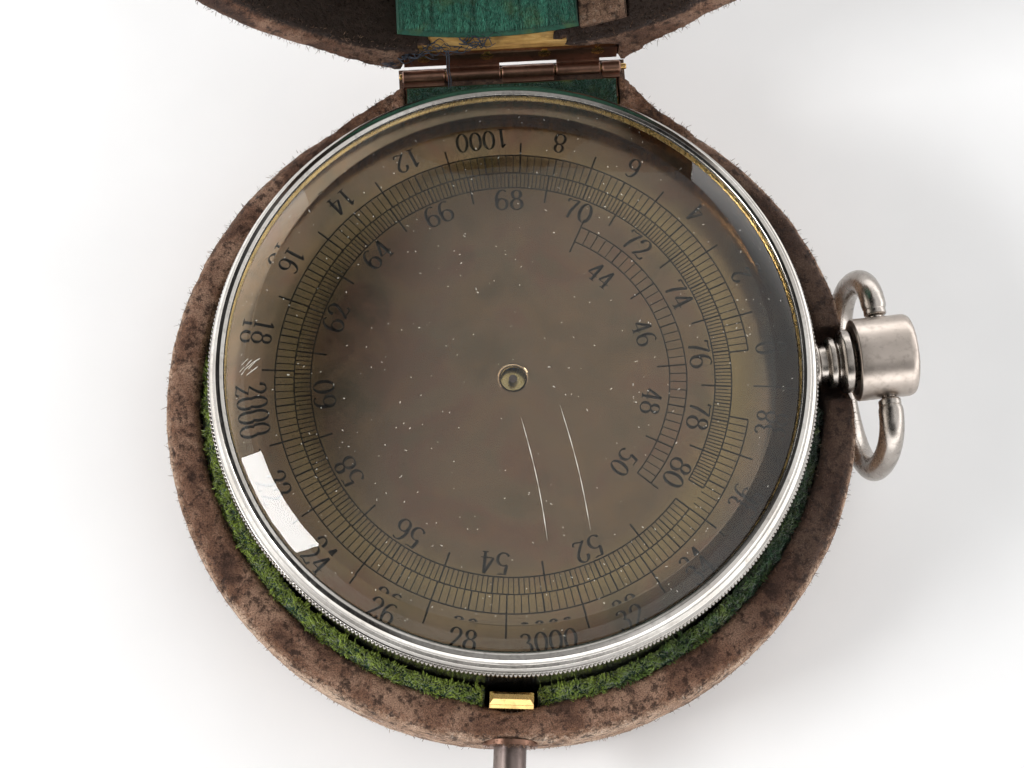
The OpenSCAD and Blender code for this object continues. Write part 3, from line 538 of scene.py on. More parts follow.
sel = (V2[:, 2] > 20.2) & (r > 39.7) & ~pocket
fib1 = rim_fibres("rim_fibres_lower", V2, N, sel, 5200, "case_base", leather_base)
sel = (V2[:, 2] > 3) & (r > 42.6) & ~pocket
fib2 = rim_fibres("wall_fibres_lower", V2, N, sel, 2600, "case_base", leather_base, 0.08, 0.26, 6, (0.9, 0.2, 0.0), 1.3)
# the leather hangs over the root of the press pin
g = np.random.default_rng(8); a = g.uniform(math.radians(15), math.radians(165), int(260 / Q))
P = np.stack([LX + 2.95 * np.cos(a), np.full(len(a), -43.35) + g.normal(0, 0.15, len(a)), 17.6 + 2.95 * np.sin(a)], -1)
D = np.stack([0.5 * np.cos(a), -1.0 + 0 * a, 0.2 + 0.35 * np.sin(a)], -1) + g.normal(0, 0.35, (len(a), 3))
VV, PP, al, who = strands(P, D, g.uniform(0.35, 1.0, len(a)), g.uniform(0.03, 0.07, len(a)), g.normal(0, 0.12, (len(a), 3)))
make("pin_collar_fibres", VV, PP, leather_base, "case_base", sharp=None, colors={"zone": np.tile([0.3, 0.5, 0.0], (len(VV), 1))})


# ------------------------------------------------------------------ the lid
V, polys, N = evaluated(["lid_wall", "lid_shoulder", "lid_top"], "lid", 0.45 * Q)
S = shut(V); NS = shut(V + N) - S
r = np.hypot(S[:, 0], S[:, 1]); z = S[:, 2]
H = np.stack([(S - HP) @ HU, (S - HP) @ HV, z - HP[2]], -1)
pocket = (np.abs(H[:, 0]) < 15.6) & (H[:, 1] > -5.7) & (H[:, 1] < 1.0) & (z < 34.2)
catch = (np.abs(S[:, 0] - LX) < 4.3) & (S[:, 1] < -38) & (z < 30.2)
inside = ((r < 40.25) & (z < 40.6)).astype(float)
amp = np.where(inside > 0, 0.55, 1.0) * np.where(pocket | catch, 0.1, 1.0)
n1 = fbm(S, 6.0, 3, 31); n2 = fbm(S, 1.4, 3, 39); n3 = vnoise(S, 0.6, 22)
rim = 1 - smooth01(z, 22.8, 24.2)
d = amp * (0.12 * n1 + 0.10 * n2 + 0.05 * n3 - 0.07)
d = np.where(inside > 0, amp * (0.16 * n2 + 0.12 * n3 - 0.05), d) - rim * amp * 0.12 * np.abs(n2)
S2 = S.copy(); S2[:, :2] += S[:, :2] / np.maximum(r, 1)[:, None] * (bulge(S) * (1 - smooth01(z, 33.0, 41.0)))[:, None]
V2 = opened(S2) + N * d[:, None]
outer = (1 - inside) * smooth01(r, 41.5, 42.8) * smooth01(z, 23.5, 25.0) * 0.55 + (1 - inside) * smooth01(z, 38, 42) * 0.35
edge = (1 - inside) * rim * smooth01(r, 41.6, 42.6) * 0.8
lid_soft = make("case_leather_lid", V2, polys, leather_lid, "lid", sharp=None, replaces=["lid_wall", "lid_shoulder", "lid_top"],
                colors={"zone": np.stack([outer, edge, inside], -1)})
sel = (z < 24.0) & (r > 39.7) & ~pocket & ~catch
rim_fibres("rim_fibres_lid", V2, N, sel, 4200, "lid", leather_lid, seed=15)
sel = (z > 25) & (inside < 0.5) & (r > 41.0) & ~pocket
rim_fibres("wall_fibres_lid", V2, N, sel, 2400, "lid", leather_lid, 0.08, 0.26, 16, (0.7, 0.2, 0.0), 1.3)


# wood under the leaves
for n, b, cut in (("base_hinge_block", "case_base", False), ("lid_hinge_block", "lid", True)):
    V, polys, N = evaluated([n], n, 0.22 * Q)
    d = 0.05 * fbm(V, 1.2, 3, 61) - 0.05
    make("torn_board_" + b, V + N * d[:, None], polys, wood_m, b, sharp=None, replaces=[n])


# ------------------------------------------------------------------ plush
GREEN = np.array([0.024, 0.112, 0.034]); LIME = np.array([0.30, 0.40, 0.045]); DEEP = np.array([0.003, 0.018, 0.010]); BLUEG = np.array([0.075, 0.320, 0.220])


def tuft(name, P, D, L, R, bend, tipc, rootc, body, along_pow=1.3, replaces=()):
    VV, PP, al, who = strands(P, D, L, R, bend)
    # each strand runs from the dark root colour to its tip colour: the dark roots are painted shade deep in the pile
    w = (al ** along_pow)[:, None]
    return make(name, VV, PP, plush_m, body, sharp=None, colors={"tone": np.clip(rootc[who] * (1 - w) + tipc[who] * w, 0, 1)}, replaces=replaces)


def arc_ring(prof, a0, a1, segs, wob=None):
    """closed solid: a closed (r, z) profile swept from a0 to a1 degrees."""
    th = np.radians(np.linspace(a0, a1, segs + 1)); prof = np.asarray(prof, float); m = len(prof)
    rr = prof[None, :, 0] + np.zeros((segs + 1, 1)); zz = prof[None, :, 1] + np.zeros((segs + 1, 1))
    V = np.stack([rr * np.cos(th)[:, None], rr * np.sin(th)[:, None], zz], -1).reshape(-1, 3)
    i = np.arange(segs)[:, None] * m; j = np.arange(m)[None, :]; j2 = (j + 1) % m
    Qd = np.stack([i + j, i + j2, i + m + j2, i + m + j], -1).reshape(-1, 4)
    capA = np.arange(m)[None, :]; capB = (segs * m + np.arange(m))[::-1][None, :]
    return V, [Qd[:, ::-1], capA, capB]


# the wall strip runs from the notch at the pendant, past the hinge, to the catch, and on to the notch
wall_prof = [(38.35, 4.6), (39.85, 4.5), (39.85, 12.0), (39.85, 17.0), (39.7, 19.0), (39.3, 20.0), (38.9, 20.5), (38.3, 20.7), (37.7, 20.6), (37.45, 20.2), (37.4, 19.2), (37.8, 17.6), (38.35, 16.0), (38.35, 12.0)]


def heap(P):
    """how much higher the plush stands against the drum, mm; most at the front and the left."""
    r_ = np.hypot(P[:, 0], P[:, 1]); f_ = np.clip(0.55 - 0.55 * P[:, 1] / r_ - 0.20 * P[:, 0] / r_, 0.15, 1.0)
    f_ = f_ * (1 - 0.9 * np.exp(-((P[:, 0] - LX) / 4.2) ** 2) * (P[:, 1] < 0))
    return 2.6 * f_ * smooth01(39.8 - r_, 0.0, 2.2) * smooth01(P[:, 2], 18.0, 20.0)
n_deg = math.degrees(AZ); notch = 7.6; cat = 5.0; mid = 270 + math.degrees(LX / 40)
spans = [(n_deg + notch, mid - cat), (mid + cat, 360 + n_deg - notch)]
cores = []
for a0, a1 in spans:
    v, p = arc_ring(wall_prof, a0, a1, int((a1 - a0) * 1.2))
    v[:, 2] += heap(v) * 0.9; rr = np.hypot(v[:, 0], v[:, 1]); v = v + unit(v * [1, 1, 0]) * (0.10 * fbm(v, 1.6, 2, 71))[:, None]
    cores.append((v, p))
cv, cp = join(cores)
# the backing is a darker green than the pile: painted shade beneath the pile
wall_core = make("plush_wall_backing", cv, cp, plush_m, "case_base", sharp=None, replaces=["base_velvet_wall"], colors={"tone": np.tile(GREEN * 0.35, (len(cv), 1))})
g = np.random.default_rng(21)


def in_spans(a):
    ok = np.zeros(len(a), bool)
    for a0, a1 in spans:
        ok |= ((a > a0 + 0.2) & (a < a1 - 0.2)) | ((a + 360 > a0 + 0.2) & (a + 360 < a1 - 0.2))
    return ok


def ring_tone(a_deg, P, g):
    """the pile's tone round the ring: yellow-green on the side towards the softbox as painted light, nearly black on
    the far side as painted shade, with noise tone on top.
    """
    a = np.radians(a_deg); left = np.clip(0.5 - 0.62 * np.cos(a - math.radians(38)), 0, 1)
    lime = np.clip(left * 1.1 + 0.55 * fbm(P, 5.0, 3, 81) - 0.10, 0, 1); n = fbm(P, 0.9, 2, 83)
    dark = np.clip(1.05 - left * 1.9 + 0.3 * n, 0, 1)
    tip = GREEN + (LIME - GREEN) * np.clip(lime + 0.35 * n, 0, 1)[:, None]
    tip = tip * (1 - 0.80 * dark)[:, None] * g.uniform(0.65, 1.35, (len(P), 1))
    # root colour: painted shade deep in the pile
    return tip, tip * 0.22 + DEEP * 0.3


n = int(24000 / Q); a = g.uniform(0, 360, n); a = a[in_spans(a)]; n = len(a)
th = np.radians(a); rad = g.uniform(37.45, 39.75, n) - 0.9 * (g.uniform(0, 1, n) > 0.5) * np.clip(-np.sin(th), 0, 1) * 0.2
P = np.stack([rad * np.cos(th), rad * np.sin(th), np.interp(rad, [37.4, 37.7, 38.3, 38.9, 39.3, 39.8], [20.1, 20.5, 20.65, 20.45, 19.95, 19.0]) + 0.10 * g.normal(0, 1, n)], -1)
P[:, 2] += heap(P) * 0.9
cl = np.stack([vnoise(P, 0.8, 91), vnoise(P, 0.8, 92), 0 * a], -1)
out = np.stack([np.cos(th), np.sin(th), 0 * th], -1)
D = np.stack([0 * a, 0 * a, np.ones(n)], -1) + 0.75 * cl + out * (0.20 * (rad - 38.4))[:, None] + g.normal(0, 0.16, (n, 3))
L = g.uniform(0.45, 0.95, n) * (1 + 0.25 * vnoise(P, 1.1, 93)); tip, root = ring_tone(a, P, g)
top_pile = tuft("plush_wall_pile_top", P, D, L, g.uniform(0.055, 0.12, n), 0.28 * cl + g.normal(0, 0.07, (n, 3)), tip, root, "case_base")
n = int(15000 / Q); a = g.uniform(0, 360, n); a = a[in_spans(a)]; n = len(a); th = np.radians(a)
zz = 20.5 - 9.0 * g.uniform(0, 1, n) ** 1.8; rw = np.interp(zz, [16.0, 17.6, 19.2, 20.4], [38.4, 37.85, 37.45, 37.55])
P = np.stack([rw * np.cos(th), rw * np.sin(th), zz], -1); P[:, 2] += heap(P) * 0.9; out = np.stack([np.cos(th), np.sin(th), 0 * th], -1)
cl = np.stack([vnoise(P, 1.0, 94), vnoise(P, 1.0, 95), vnoise(P, 1.0, 96)], -1)
D = -out * 0.8 + np.array([0, 0, 0.55]) + 0.45 * cl + g.normal(0, 0.15, (n, 3))
# the side pile darkens further down the wall: painted shade deep inside the case
tip, root = ring_tone(a, P, g); depth_shade = np.clip(1 - (20.5 - zz) / 6.0, 0.15, 1)[:, None]
side_pile = tuft("plush_wall_pile_side", P, D, g.uniform(0.25, 0.5, n), g.uniform(0.06, 0.11, n), 0.15 * cl, tip * depth_shade, root * depth_shade, "case_base")


# strip of plush over the lower leaf, in the hinge frame
def hinge_strip(name, x0, x1, v0, v1, z0, z1, body, tr, seed):
    nx, nv = int((x1 - x0) * 4), int((v1 - v0) * 4) + 2
    X, Y = np.meshgrid(np.linspace(x0, x1, nx), np.linspace(v0, v1, nv), indexing="ij")
    ok = np.stack([X, Y], -1).reshape(-1, 2)
    top = np.concatenate([ok, np.full((len(ok), 1), z1)], 1); bot = np.concatenate([ok, np.full((len(ok), 1), z0)], 1)
    top[:, 2] += 0.06 * fbm(top, 1.2, 2, seed)
    def fix(Pn):
        W = hinge_pt(Pn); rr = np.hypot(W[:, 0], W[:, 1]); s = np.maximum(rr, 40.06) / rr
        W[:, 0] *= s; W[:, 1] *= s; return W
    Vt, Vb = fix(top), fix(bot); m = len(Vt)
    i, j = np.meshgrid(np.arange(nx - 1), np.arange(nv - 1), indexing="ij"); k = (i * nv + j).ravel()
    Qt = np.stack([k, k + nv, k + nv + 1, k + 1], -1); Qb = (Qt + m)[:, ::-1]
    loop = [i_ * nv for i_ in range(nx)] + [(nx - 1) * nv + j_ for j_ in range(1, nv)] + [i_ * nv + nv - 1 for i_ in range(nx - 2, -1, -1)] + [j_ for j_ in range(nv - 2, 0, -1)]
    loop = np.array(loop); l2 = np.roll(loop, -1); Qs = np.stack([l2, loop, loop + m, l2 + m], -1)
    return tr(np.concatenate([Vt, Vb])), [np.concatenate([Qt, Qb, Qs])]


v, p = hinge_strip("s", -14.0, 13.8, -5.2, -1.45, -0.72, -0.42, "case_base", lambda W: W, 101)
# the backing is a darker green than the pile: painted shade beneath the pile
strip_core = make("plush_leaf_backing", v, p, plush_m, "case_base", sharp=40, replaces=["base_velvet_strip"], colors={"tone": np.tile(GREEN * 0.3, (len(v), 1))})
g = np.random.default_rng(23); n = int(5200 / Q)
hp_ = np.stack([g.uniform(-13.9, 13.7, n), g.uniform(-5.0, -1.6, n), np.full(n, -0.45)], -1); P = hinge_pt(hp_)
ok = np.hypot(P[:, 0], P[:, 1]) > 40.1; P = P[ok]; n = len(P)
cl = np.stack([vnoise(P, 0.9, 111), vnoise(P, 0.9, 112), 0 * P[:, 0]], -1)
D = np.array([0, -0.35, 1.0]) + 0.7 * cl + g.normal(0, 0.2, (n, 3))
tone = (BLUEG * 0.35)[None, :] * g.uniform(0.5, 1.7, (n, 1)) + LIME[None, :] * np.clip(0.25 * fbm(P, 3.0, 2, 113) - 0.05, 0, 1)[:, None]
# roots at a quarter of the tip tone: painted shade deep in the pile
strip_pile = tuft("plush_leaf_pile", P, D, g.uniform(0.2, 0.42, n), g.uniform(0.05, 0.095, n), 0.08 * cl, tone, tone * 0.25, "case_base")

# padded floor of the lower half
pad_prof = [(0, 2.66), (39.3, 2.66), (39.7, 2.9), (39.75, 3.3), (39.3, 3.62), (30, 3.68), (15, 3.7), (0, 3.7)]
v, p = lathe(pad_prof, 160); v[:, 2] += np.where(v[:, 2] > 3.2, 0.10 * fbm(v, 4.0, 3, 121), 0)
# the pad under the pile is a darker green: painted shade beneath the pile
base_pad = make("plush_floor_pad", v, p, plush_m, "case_base", sharp=None, replaces=["base_velvet_pad"], colors={"tone": np.tile(GREEN * 0.4, (len(v), 1))})
g = np.random.default_rng(25); n = int(9000 / Q); rad = 39.3 * np.sqrt(g.uniform(0, 1, n)); a = g.uniform(0, 2 * np.pi, n)
P = np.stack([rad * np.cos(a), rad * np.sin(a), np.full(n, 3.66)], -1); cl = np.stack([vnoise(P, 1.5, 122), vnoise(P, 1.5, 123), 0 * a], -1)
t = GREEN[None, :] * g.uniform(0.6, 1.5, (n, 1))
# roots at 0.3 of the tip colour: painted shade deep in the pile
tuft("plush_floor_pile", P, np.array([0, 0, 1.0]) + 0.8 * cl + g.normal(0, 0.2, (n, 3)), g.uniform(0.3, 0.55, n), g.uniform(0.09, 0.17, n), 0.1 * cl, t, t * 0.3, "case_base")

# velvet strip up the inside of the lid behind the hinge
strip_prof = [(38.75, 25.2), (39.8, 24.9), (39.8, 32.2), (39.0, 35.6), (37.9, 35.5), (38.65, 32.2)]
x_a, x_b = -13.9, 9.4
ang = lambda x: math.degrees(math.acos((x * math.cos(YAW) - 1.4 - 0.0) / 39.0))
a0, a1 = ang(x_b), ang(x_a)
v, p = arc_ring(strip_prof, a0, a1, 60)
# the backing is a darker blue-green than the pile: painted shade beneath the pile
lid_strip = make("velvet_lid_strip_backing", opened(v), p, plush_m, "lid", sharp=40, replaces=["lid_velvet_strip"], colors={"tone": np.tile(BLUEG * 0.4, (len(v), 1))})
g = np.random.default_rng(27); n = int(17000 / Q)
aa = np.radians(g.uniform(a0 + 0.3, a1 - 0.3, n)); zz = g.uniform(25.0, 35.4, n); rr = np.interp(zz, [25.0, 32.2, 35.6], [38.8, 38.7, 37.95])
P = np.stack([rr * np.cos(aa), rr * np.sin(aa), zz], -1); out = np.stack([np.cos(aa), np.sin(aa), 0 * aa], -1)
st = vnoise(P * [1, 1, 0.12], 0.55, 131)
D = -out * 0.55 + np.array([0, 0, 0.85]) + np.stack([0.12 * st, 0 * st, 0 * st], -1) + g.normal(0, 0.10, (n, 3))
t = BLUEG[None, :] * (1.0 + 0.55 * st)[:, None] * g.uniform(0.7, 1.3, (n, 1)) + LIME[None, :] * np.clip(0.10 * fbm(P, 3.0, 2, 133), 0, 1)[:, None]
VV, PP, al, who = strands(P, D, g.uniform(0.5, 0.85, n), g.uniform(0.045, 0.075, n), 0.04 * g.normal(0, 1, (n, 3)))
w = (al ** 1.2)[:, None]
# strands darken towards the root: painted shade deep in the pile
lid_pile = make("velvet_lid_strip_pile", opened(VV), PP, plush_m, "lid", sharp=None, colors={"tone": np.clip(t[who] * (0.3 + 0.7 * w), 0, 1)})

# padded top inside the lid
pad_prof = [(0, 40.15), (33.9, 40.15), (34.35, 39.9), (34.3, 39.5), (33.8, 39.3), (25, 39.25), (12, 39.22), (0, 39.2)]
v, p = lathe(pad_prof[::-1], 160); v[:, 2] -= np.where(v[:, 2] < 39.6, 0.05 * (1 + fbm(v, 5.0, 3, 141)), 0)
# the pad under the pile is a darker blue-green: painted shade beneath the pile
lid_pad = make("velvet_lid_pad", opened(v), p, plush_m, "lid", sharp=None, replaces=["lid_velvet_pad"], colors={"tone": np.tile(BLUEG * 0.45, (len(v), 1))})
g = np.random.default_rng(29); n = int(20000 / Q); rad = 34.2 * np.sqrt(g.uniform(0, 1, n)); a = g.uniform(0, 2 * np.pi, n)
P = np.stack([rad * np.cos(a), rad * np.sin(a), np.full(n, 39.3)], -1); cl = np.stack([vnoise(P, 2.5, 142), vnoise(P, 2.5, 143), 0 * a], -1)
t = BLUEG[None, :] * g.uniform(0.6, 1.4, (n, 1)) * (1 + 0.4 * fbm(P, 6.0, 3, 144))[:, None]
VV, PP, al, who = strands(P, np.array([0, 0.5, -0.8]) + 0.5 * cl + g.normal(0, 0.12, (n, 3)), g.uniform(0.35, 0.6, n), g.uniform(0.07, 0.12, n), 0.08 * cl)
# strands darken towards the root: painted shade deep in the pile
make("velvet_lid_pad_pile", opened(VV), PP, plush_m, "lid", sharp=None, colors={"tone": np.clip(t[who] * (0.3 + 0.7 * al[:, None]), 0, 1)})


# ------------------------------------------------------------------ hinge
def lathe_x(prof, at, segs=40):
    """(r, x) profile turned about the barrel's axis; at = hinge frame offset."""
    v, p = lathe([(r_, x_) for r_, x_ in prof], segs); v = turned(v) + np.array(at); return v, p


kn = [-14.6, -8.8, -1.4, 5.8, 11.9, 14.6]


def knuckle(k, seed):
    a, b = kn[k] + 0.05, kn[k + 1] - 0.05; R = 0.85
    xs = np.linspace(a + 0.22, b - 0.22, 14)
    prof = [(0.41, a), (0.60, a), (0.74, a + 0.06), (0.83, a + 0.2)] + [(R - 0.012 + 0.018 * math.sin(seed + 2.1 * x), x) for x in xs] + [(0.83, b - 0.2), (0.74, b - 0.06), (0.60, b), (0.41, b)]
    return lathe_x(prof, (0, 0, 0))


def leaf(side, ks, tr):
    parts = []
    z0, z1 = (-1.33, -0.75) if side < 0 else (0.77, 1.35)
    v, p = rbox((-14.2, -3.9, z0 + 0.02), (14.0, -1.18, z1 - 0.02), 0.08)
    v[:, 1] += np.where(v[:, 1] < -3, -0.0, 0); parts.append((v, p))
    for k in ks:
        a, b = kn[k] + 0.18, kn[k + 1] - 0.18
        parts.append(rbox((a, -1.32, z0 + 0.02), (b, -0.4, z1 - 0.04), 0.08))
        parts.append(rbox((a, -1.30, -0.88 if side < 0 else 0.32), (b, -0.40, -0.32 if side < 0 else 0.88), 0.06))
        parts.append(knuckle(k, k))
    v, p = join(parts); return tr(hinge_pt(v)), p


v, p = leaf(-1, [0, 2, 4], lambda W: W)
make("hinge_leaf_lower", v, p, copper, "case_base", sharp=35, replaces=["hinge_base_leaf"])
v, p = leaf(1, [1, 3], opened)
make("hinge_leaf_upper", v, p, copper, "lid", sharp=35, replaces=["hinge_lid_leaf"])
v, p = lathe_x(soften([(0, -14.9), (0.4, -14.9), (0.4, 15.2), (0.28, 15.3), (0, 15.3)], 0.1, 3), (0, 0, 0), 28)
v2, p2 = lathe_x(soften([(0.4, 14.68), (0.62, 14.68), (0.66, 14.9), (0.52, 15.2), (0.0, 15.3)], 0.06, 3), (0, 0, 0), 28)
v, p = join([(v, p)])
make("hinge_pin_rod", hinge_pt(v), p, brass, "case_base", sharp=40, replaces=["hinge_pin"])


def ball_head(prof, at, tr, slot_dir=None, segs=32):
    v, p = lathe(prof, segs); return tr(v) + at, p


v, p = hinge_strip("u", -15.0, 15.1, -1.6, 1.5, -2.1, -1.12, "case_base", lambda W: W, 151)
v[:, 2] += 0.05 * fbm(v, 0.8, 2, 152)
make("leather_behind_hinge", v, p, leather_base, "case_base", sharp=50, colors={"zone": np.tile([0.0, 0.2, 0.55], (len(v), 1))})
# this patch takes the outer wall's pale tan through its zone: a painted highlight on the dark leather inside the lid
v, p = arc_ring([(39.3, 25.0), (39.55, 24.6), (39.97, 24.6), (39.97, 34.0), (39.6, 34.6), (39.35, 34.2), (39.2, 30.0)], ang(15.6), ang(9.6), 24)
v = v + 0.10 * fbm(v, 0.9, 3, 153)[:, None] * np.array([0.5, 1, 0.5])
make("leather_patch_lid", opened(v), p, leather_lid, "lid", sharp=50, colors={"zone": np.tile([0.40, 0.10, 0.08], (len(v), 1))})

# frayed lining threads over the barrel's left half
g = np.random.default_rng(33); parts = []
def thread(pts, r0, n=26):
    pts = np.array(pts, float); t = np.linspace(0, len(pts) - 1, n); i = np.clip(t.astype(int), 0, len(pts) - 2); f = (t - i)[:, None]
    pm = pts[np.maximum(i - 1, 0)]; p0 = pts[i]; p1 = pts[i + 1]; p2 = pts[np.minimum(i + 2, len(pts) - 1)]
    c = 0.5 * ((2 * p0) + (-pm + p1) * f + (2 * pm - 5 * p0 + 4 * p1 - p2) * f ** 2 + (-pm + 3 * p0 - 3 * p1 + p2) * f ** 3)
    return tube(c, np.linspace(r0, r0 * 0.45, n), 6)


# the lid's threads are laid out where the lid stands open, along its lower edge, above the barrel
for k in range(46):
    x = -15.0 + 12.4 * g.uniform(0, 1) ** 1.2; dx = g.uniform(0.8, 3.6) * (1 if g.uniform() > 0.25 else -0.6); y = g.uniform(0.5, 2.2) + 0.10 * (x + 15)
    base = np.array([x, y, 4.75 + 0.3 * g.uniform(0, 1)])
    pts = [base, base + [0.3 * dx, -0.3 + 0.3 * g.normal(), 0.25 + 0.2 * g.normal()], base + [0.7 * dx, -0.1 + 0.4 * g.normal(), 0.1 + 0.3 * g.normal()], base + [dx, -0.2 + 0.5 * g.normal(), 0.1 + 0.3 * g.normal()]]
    parts.append(thread(pts, g.uniform(0.06, 0.11)))
for x in (-8.6, -8.3):
    parts.append(thread([(x, 1.4, 4.9), (x + 0.1, 0.6, 4.3), (x + 0.05, -0.3, 2.6), (x + 0.2, -1.2, 1.3), (x + 0.1, -2.2, 0.7)], 0.10, 40))
for k in range(14):
    base = np.array([-15.3, 0.6, 3.6]) + g.normal(0, 0.25, 3); parts.append(thread([base, base + [-0.6, -0.2, 0.3], base + [-1.2 - g.uniform(0, 0.8), 0.3 * g.normal(), 0.4 * g.normal()]], 0.06, 12))
v, p = join(parts)
threads = make("frayed_lining_threads", hinge_pt(v), p, thread_m, "lid", sharp=None)

# ------------------------------------------------------------------ instrument
SEG = 512


def inst(name, v, p, mat, body="instrument", sharp=30, replaces=(), colors=None):
    return make(name, to_inst(v), p, mat, body, sharp=sharp, replaces=replaces, colors=colors)


bez = [(36.16, 32.3), (37.1, 32.3), (37.14, 32.42), (37.14, 33.98), (37.1, 34.08), (36.75, 34.15), (36.7, 34.45), (37.0, 34.7), (37.05, 35.15), (36.85, 35.7), (36.35, 36.0),
       (36.3, 36.25), (36.45, 36.5), (36.35, 37.0), (36.0, 37.35), (35.5, 37.45), (35.1, 37.3), (34.95, 37.05), (34.95, 36.92), (35.45, 36.7), (35.45, 34.0), (36.16, 34.0)]
bez = soften(bez, 0.07, 3, closed=True)
v1, p1 = lathe(bez, SEG, closed=True, wob=lambda r_, z_, th: 0.006 * np.sin(9 * th + z_) + 0.004 * np.sin(23 * th))
NT = 440; KS = NT * 6
prof = [(36.9, 32.5), (37.1, 32.47), (37.33, 32.52), (37.46, 32.68), (37.5, 32.95), (37.5, 33.45), (37.46, 33.72), (37.33, 33.88), (37.1, 33.93), (36.9, 33.9)]
v2, p2 = lathe(prof, KS, closed=True, wob=lambda r_, z_, th: (0 if r_ < 37.2 else -0.30 * (1 - np.abs(np.sin(th * NT / 2)) ** 0.75) * (r_ - 37.0) / 0.5 - 0.02 * (1 + np.sin(17 * th))))
v, p = join([(v1, p1), (v2, p2)])
inst("bezel_coin_edge", v, p, nickel, "bezel_unit", replaces=["bezel"])

gl = [(0, 34.8), (10, 34.8), (25, 34.8)] + soften([(34.0, 34.8), (35.27, 34.8), (35.35, 34.9), (35.35, 36.52), (35.26, 36.62), (32.05, 38.08), (31.9, 38.1), (25, 38.1)], 0.05, 3) + [(10, 38.1), (0, 38.1)]
v, p = lathe(gl, SEG)
glass_o = inst("crystal", v, p, glass_m, "bezel_unit", sharp=12, replaces=["glass"])
v, p = lathe(soften([(34.5, 34.0), (35.4, 34.0), (35.4, 34.78), (34.5, 34.78)], 0.06, 2, closed=True), 256, closed=True)
inst("crystal_seat_ring", v, p, brass, "bezel_unit", replaces=["glass_seat_ring"])

nk = [(0, 35.0), (2.2, 35.0), (2.27, 35.2), (2.27, 37.0), (2.9, 37.05), (3.1, 37.3), (3.1, 39.2), (2.95, 39.45), (2.35, 39.55), (2.35, 40.5), (3.0, 40.6), (3.3, 40.85), (3.3, 41.5), (3.05, 41.75),
      (2.7, 41.85), (2.7, 42.15), (3.8, 42.25), (4.1, 42.6), (4.1, 43.5), (3.85, 43.9), (2.6, 44.0), (2.6, 47.4), (0, 47.6)]
v, p = lathe(soften(nk, 0.14, 4), 120); v = turned(v) + [0, 0, PEND_Z]
inst("pendant_stem", v, p, nickel_bow, replaces=["pendant_neck"])

cp = [(4.55, 44.1), (5.15, 44.1), (5.3, 44.28), (5.3, 46.0), (5.3, 47.9), (5.3, 49.8), (5.3, 50.9), (5.05, 51.5), (4.4, 51.8), (2.5, 51.87), (0, 51.9), (0, 47.65), (2.64, 47.65), (2.64, 45.7), (4.4, 45.7), (4.5, 45.5)]
cps = soften(cp[:10], 0.22, 4) + cp[10:12] + cp[12:]
v, p = lathe(cps, 160, closed=True); v = turned(v) + [0, 0, PEND_Z]
cap = inst("pendant_cap_shell", v, p, nickel_cap, replaces=["pendant_cap"])
pts = []
for sgn in (-1, 1):
    v, p = lathe([(0, -2.6), (0.97, -2.6), (0.97, 2.6), (0, 2.6)], 40); v = np.stack([v[:, 0], v[:, 2], v[:, 1]], -1) * [1, 1, -1] + [47.9, sgn * 6.6, PEND_Z]
    pts.append((v, p))
v, p = join(pts)
cut = make("cut_tmp", to_inst(v), p, nickel_cap)
bm = cap.modifiers.new("holes", "BOOLEAN"); bm.operation = "DIFFERENCE"; bm.solver = "EXACT"; bm.object = cut
dg = bpy.context.evaluated_depsgraph_get(); dg.update()
me = bpy.data.meshes.new_from_object(cap.evaluated_get(dg)); cap.modifiers.remove(bm)
old = cap.data; cap.data = me; me.name = "pendant_cap_shell"; me.shade_smooth(); me.set_sharp_from_angle(angle=math.radians(30))
bpy.data.objects.remove(cut)


def bez_(a, b, c, d_, t):
    return np.array(a)[None] * (1 - t[:, None]) ** 3 + np.array(b)[None] * 3 * t[:, None] * (1 - t[:, None]) ** 2 + np.array(c)[None] * 3 * t[:, None] ** 2 * (1 - t[:, None]) + np.array(d_)[None] * t[:, None] ** 3


t = np.linspace(0, 1, 33)
half = np.concatenate([bez_([6.45, 0], [10.2, 0], [12.4, 3.6], [12.4, 8.8], t)[:-1], bez_([12.4, 8.8], [12.4, 14.0], [7.2, 18.3], [0, 18.3], t)])
full = np.concatenate([half, (half * [-1, 1])[-2::-1]])
lean = math.radians(6.5)
def bow_place(P):      # (x along the pendant, y sideways, z) about the pivot -> row frame, hanging with the lean
    P = np.asarray(P, float); c, s = math.cos(lean), math.sin(lean)
    X = P[:, 0] * c + P[:, 2] * s; Z = -P[:, 0] * s + P[:, 2] * c
    return to_inst(np.stack([X + 47.9, P[:, 1], Z + PEND_Z], -1))


path = np.stack([np.zeros(len(full)), full[:, 0], -full[:, 1]], -1)
rad = np.full(len(path), 1.6); rad[:3] = [1.42, 1.55, 1.6]; rad[-3:] = [1.6, 1.55, 1.42]
parts = [tube(path, rad, 40, up=(1.0, 0, 0))]
for sgn in (-1, 1):
    v, p = lathe(soften([(0, 4.3), (0.82, 4.3), (0.9, 4.42), (0.9, 5.5), (1.25, 5.62), (1.45, 5.8), (1.45, 6.4), (1.3, 6.62), (0.9, 6.7), (0, 6.7)], 0.1, 3), 48)
    v = np.stack([v[:, 0], v[:, 2], -v[:, 1]], -1) if sgn > 0 else np.stack([v[:, 0], -v[:, 2], v[:, 1]], -1)
    parts.append((v, p))
v, p = join(parts)
make("bow_ring", bow_place(v), p, nickel_bow, "bow", sharp=35, replaces=["bow"])

dl = [(1.9, 29.8)] + [(x, 29.8) for x in (6, 12, 18, 24, 30)] + [(35.33, 29.8), (35.4, 29.74), (35.4, 28.94), (30, 28.92), (15, 28.92), (1.6, 28.92), (1.55, 28.97), (1.55, 29.45), (1.62, 29.55), (1.84, 29.77)]
v, p = lathe(dl, 256, closed=True)
inst("dial_plate", v, p, dial_m, replaces=["dial"], sharp=25)

# numbers and divisions, filled into the dial: a hair proud of it
ZT = DIAL_Z + 0.012; TH = 0.03
tick_parts = []


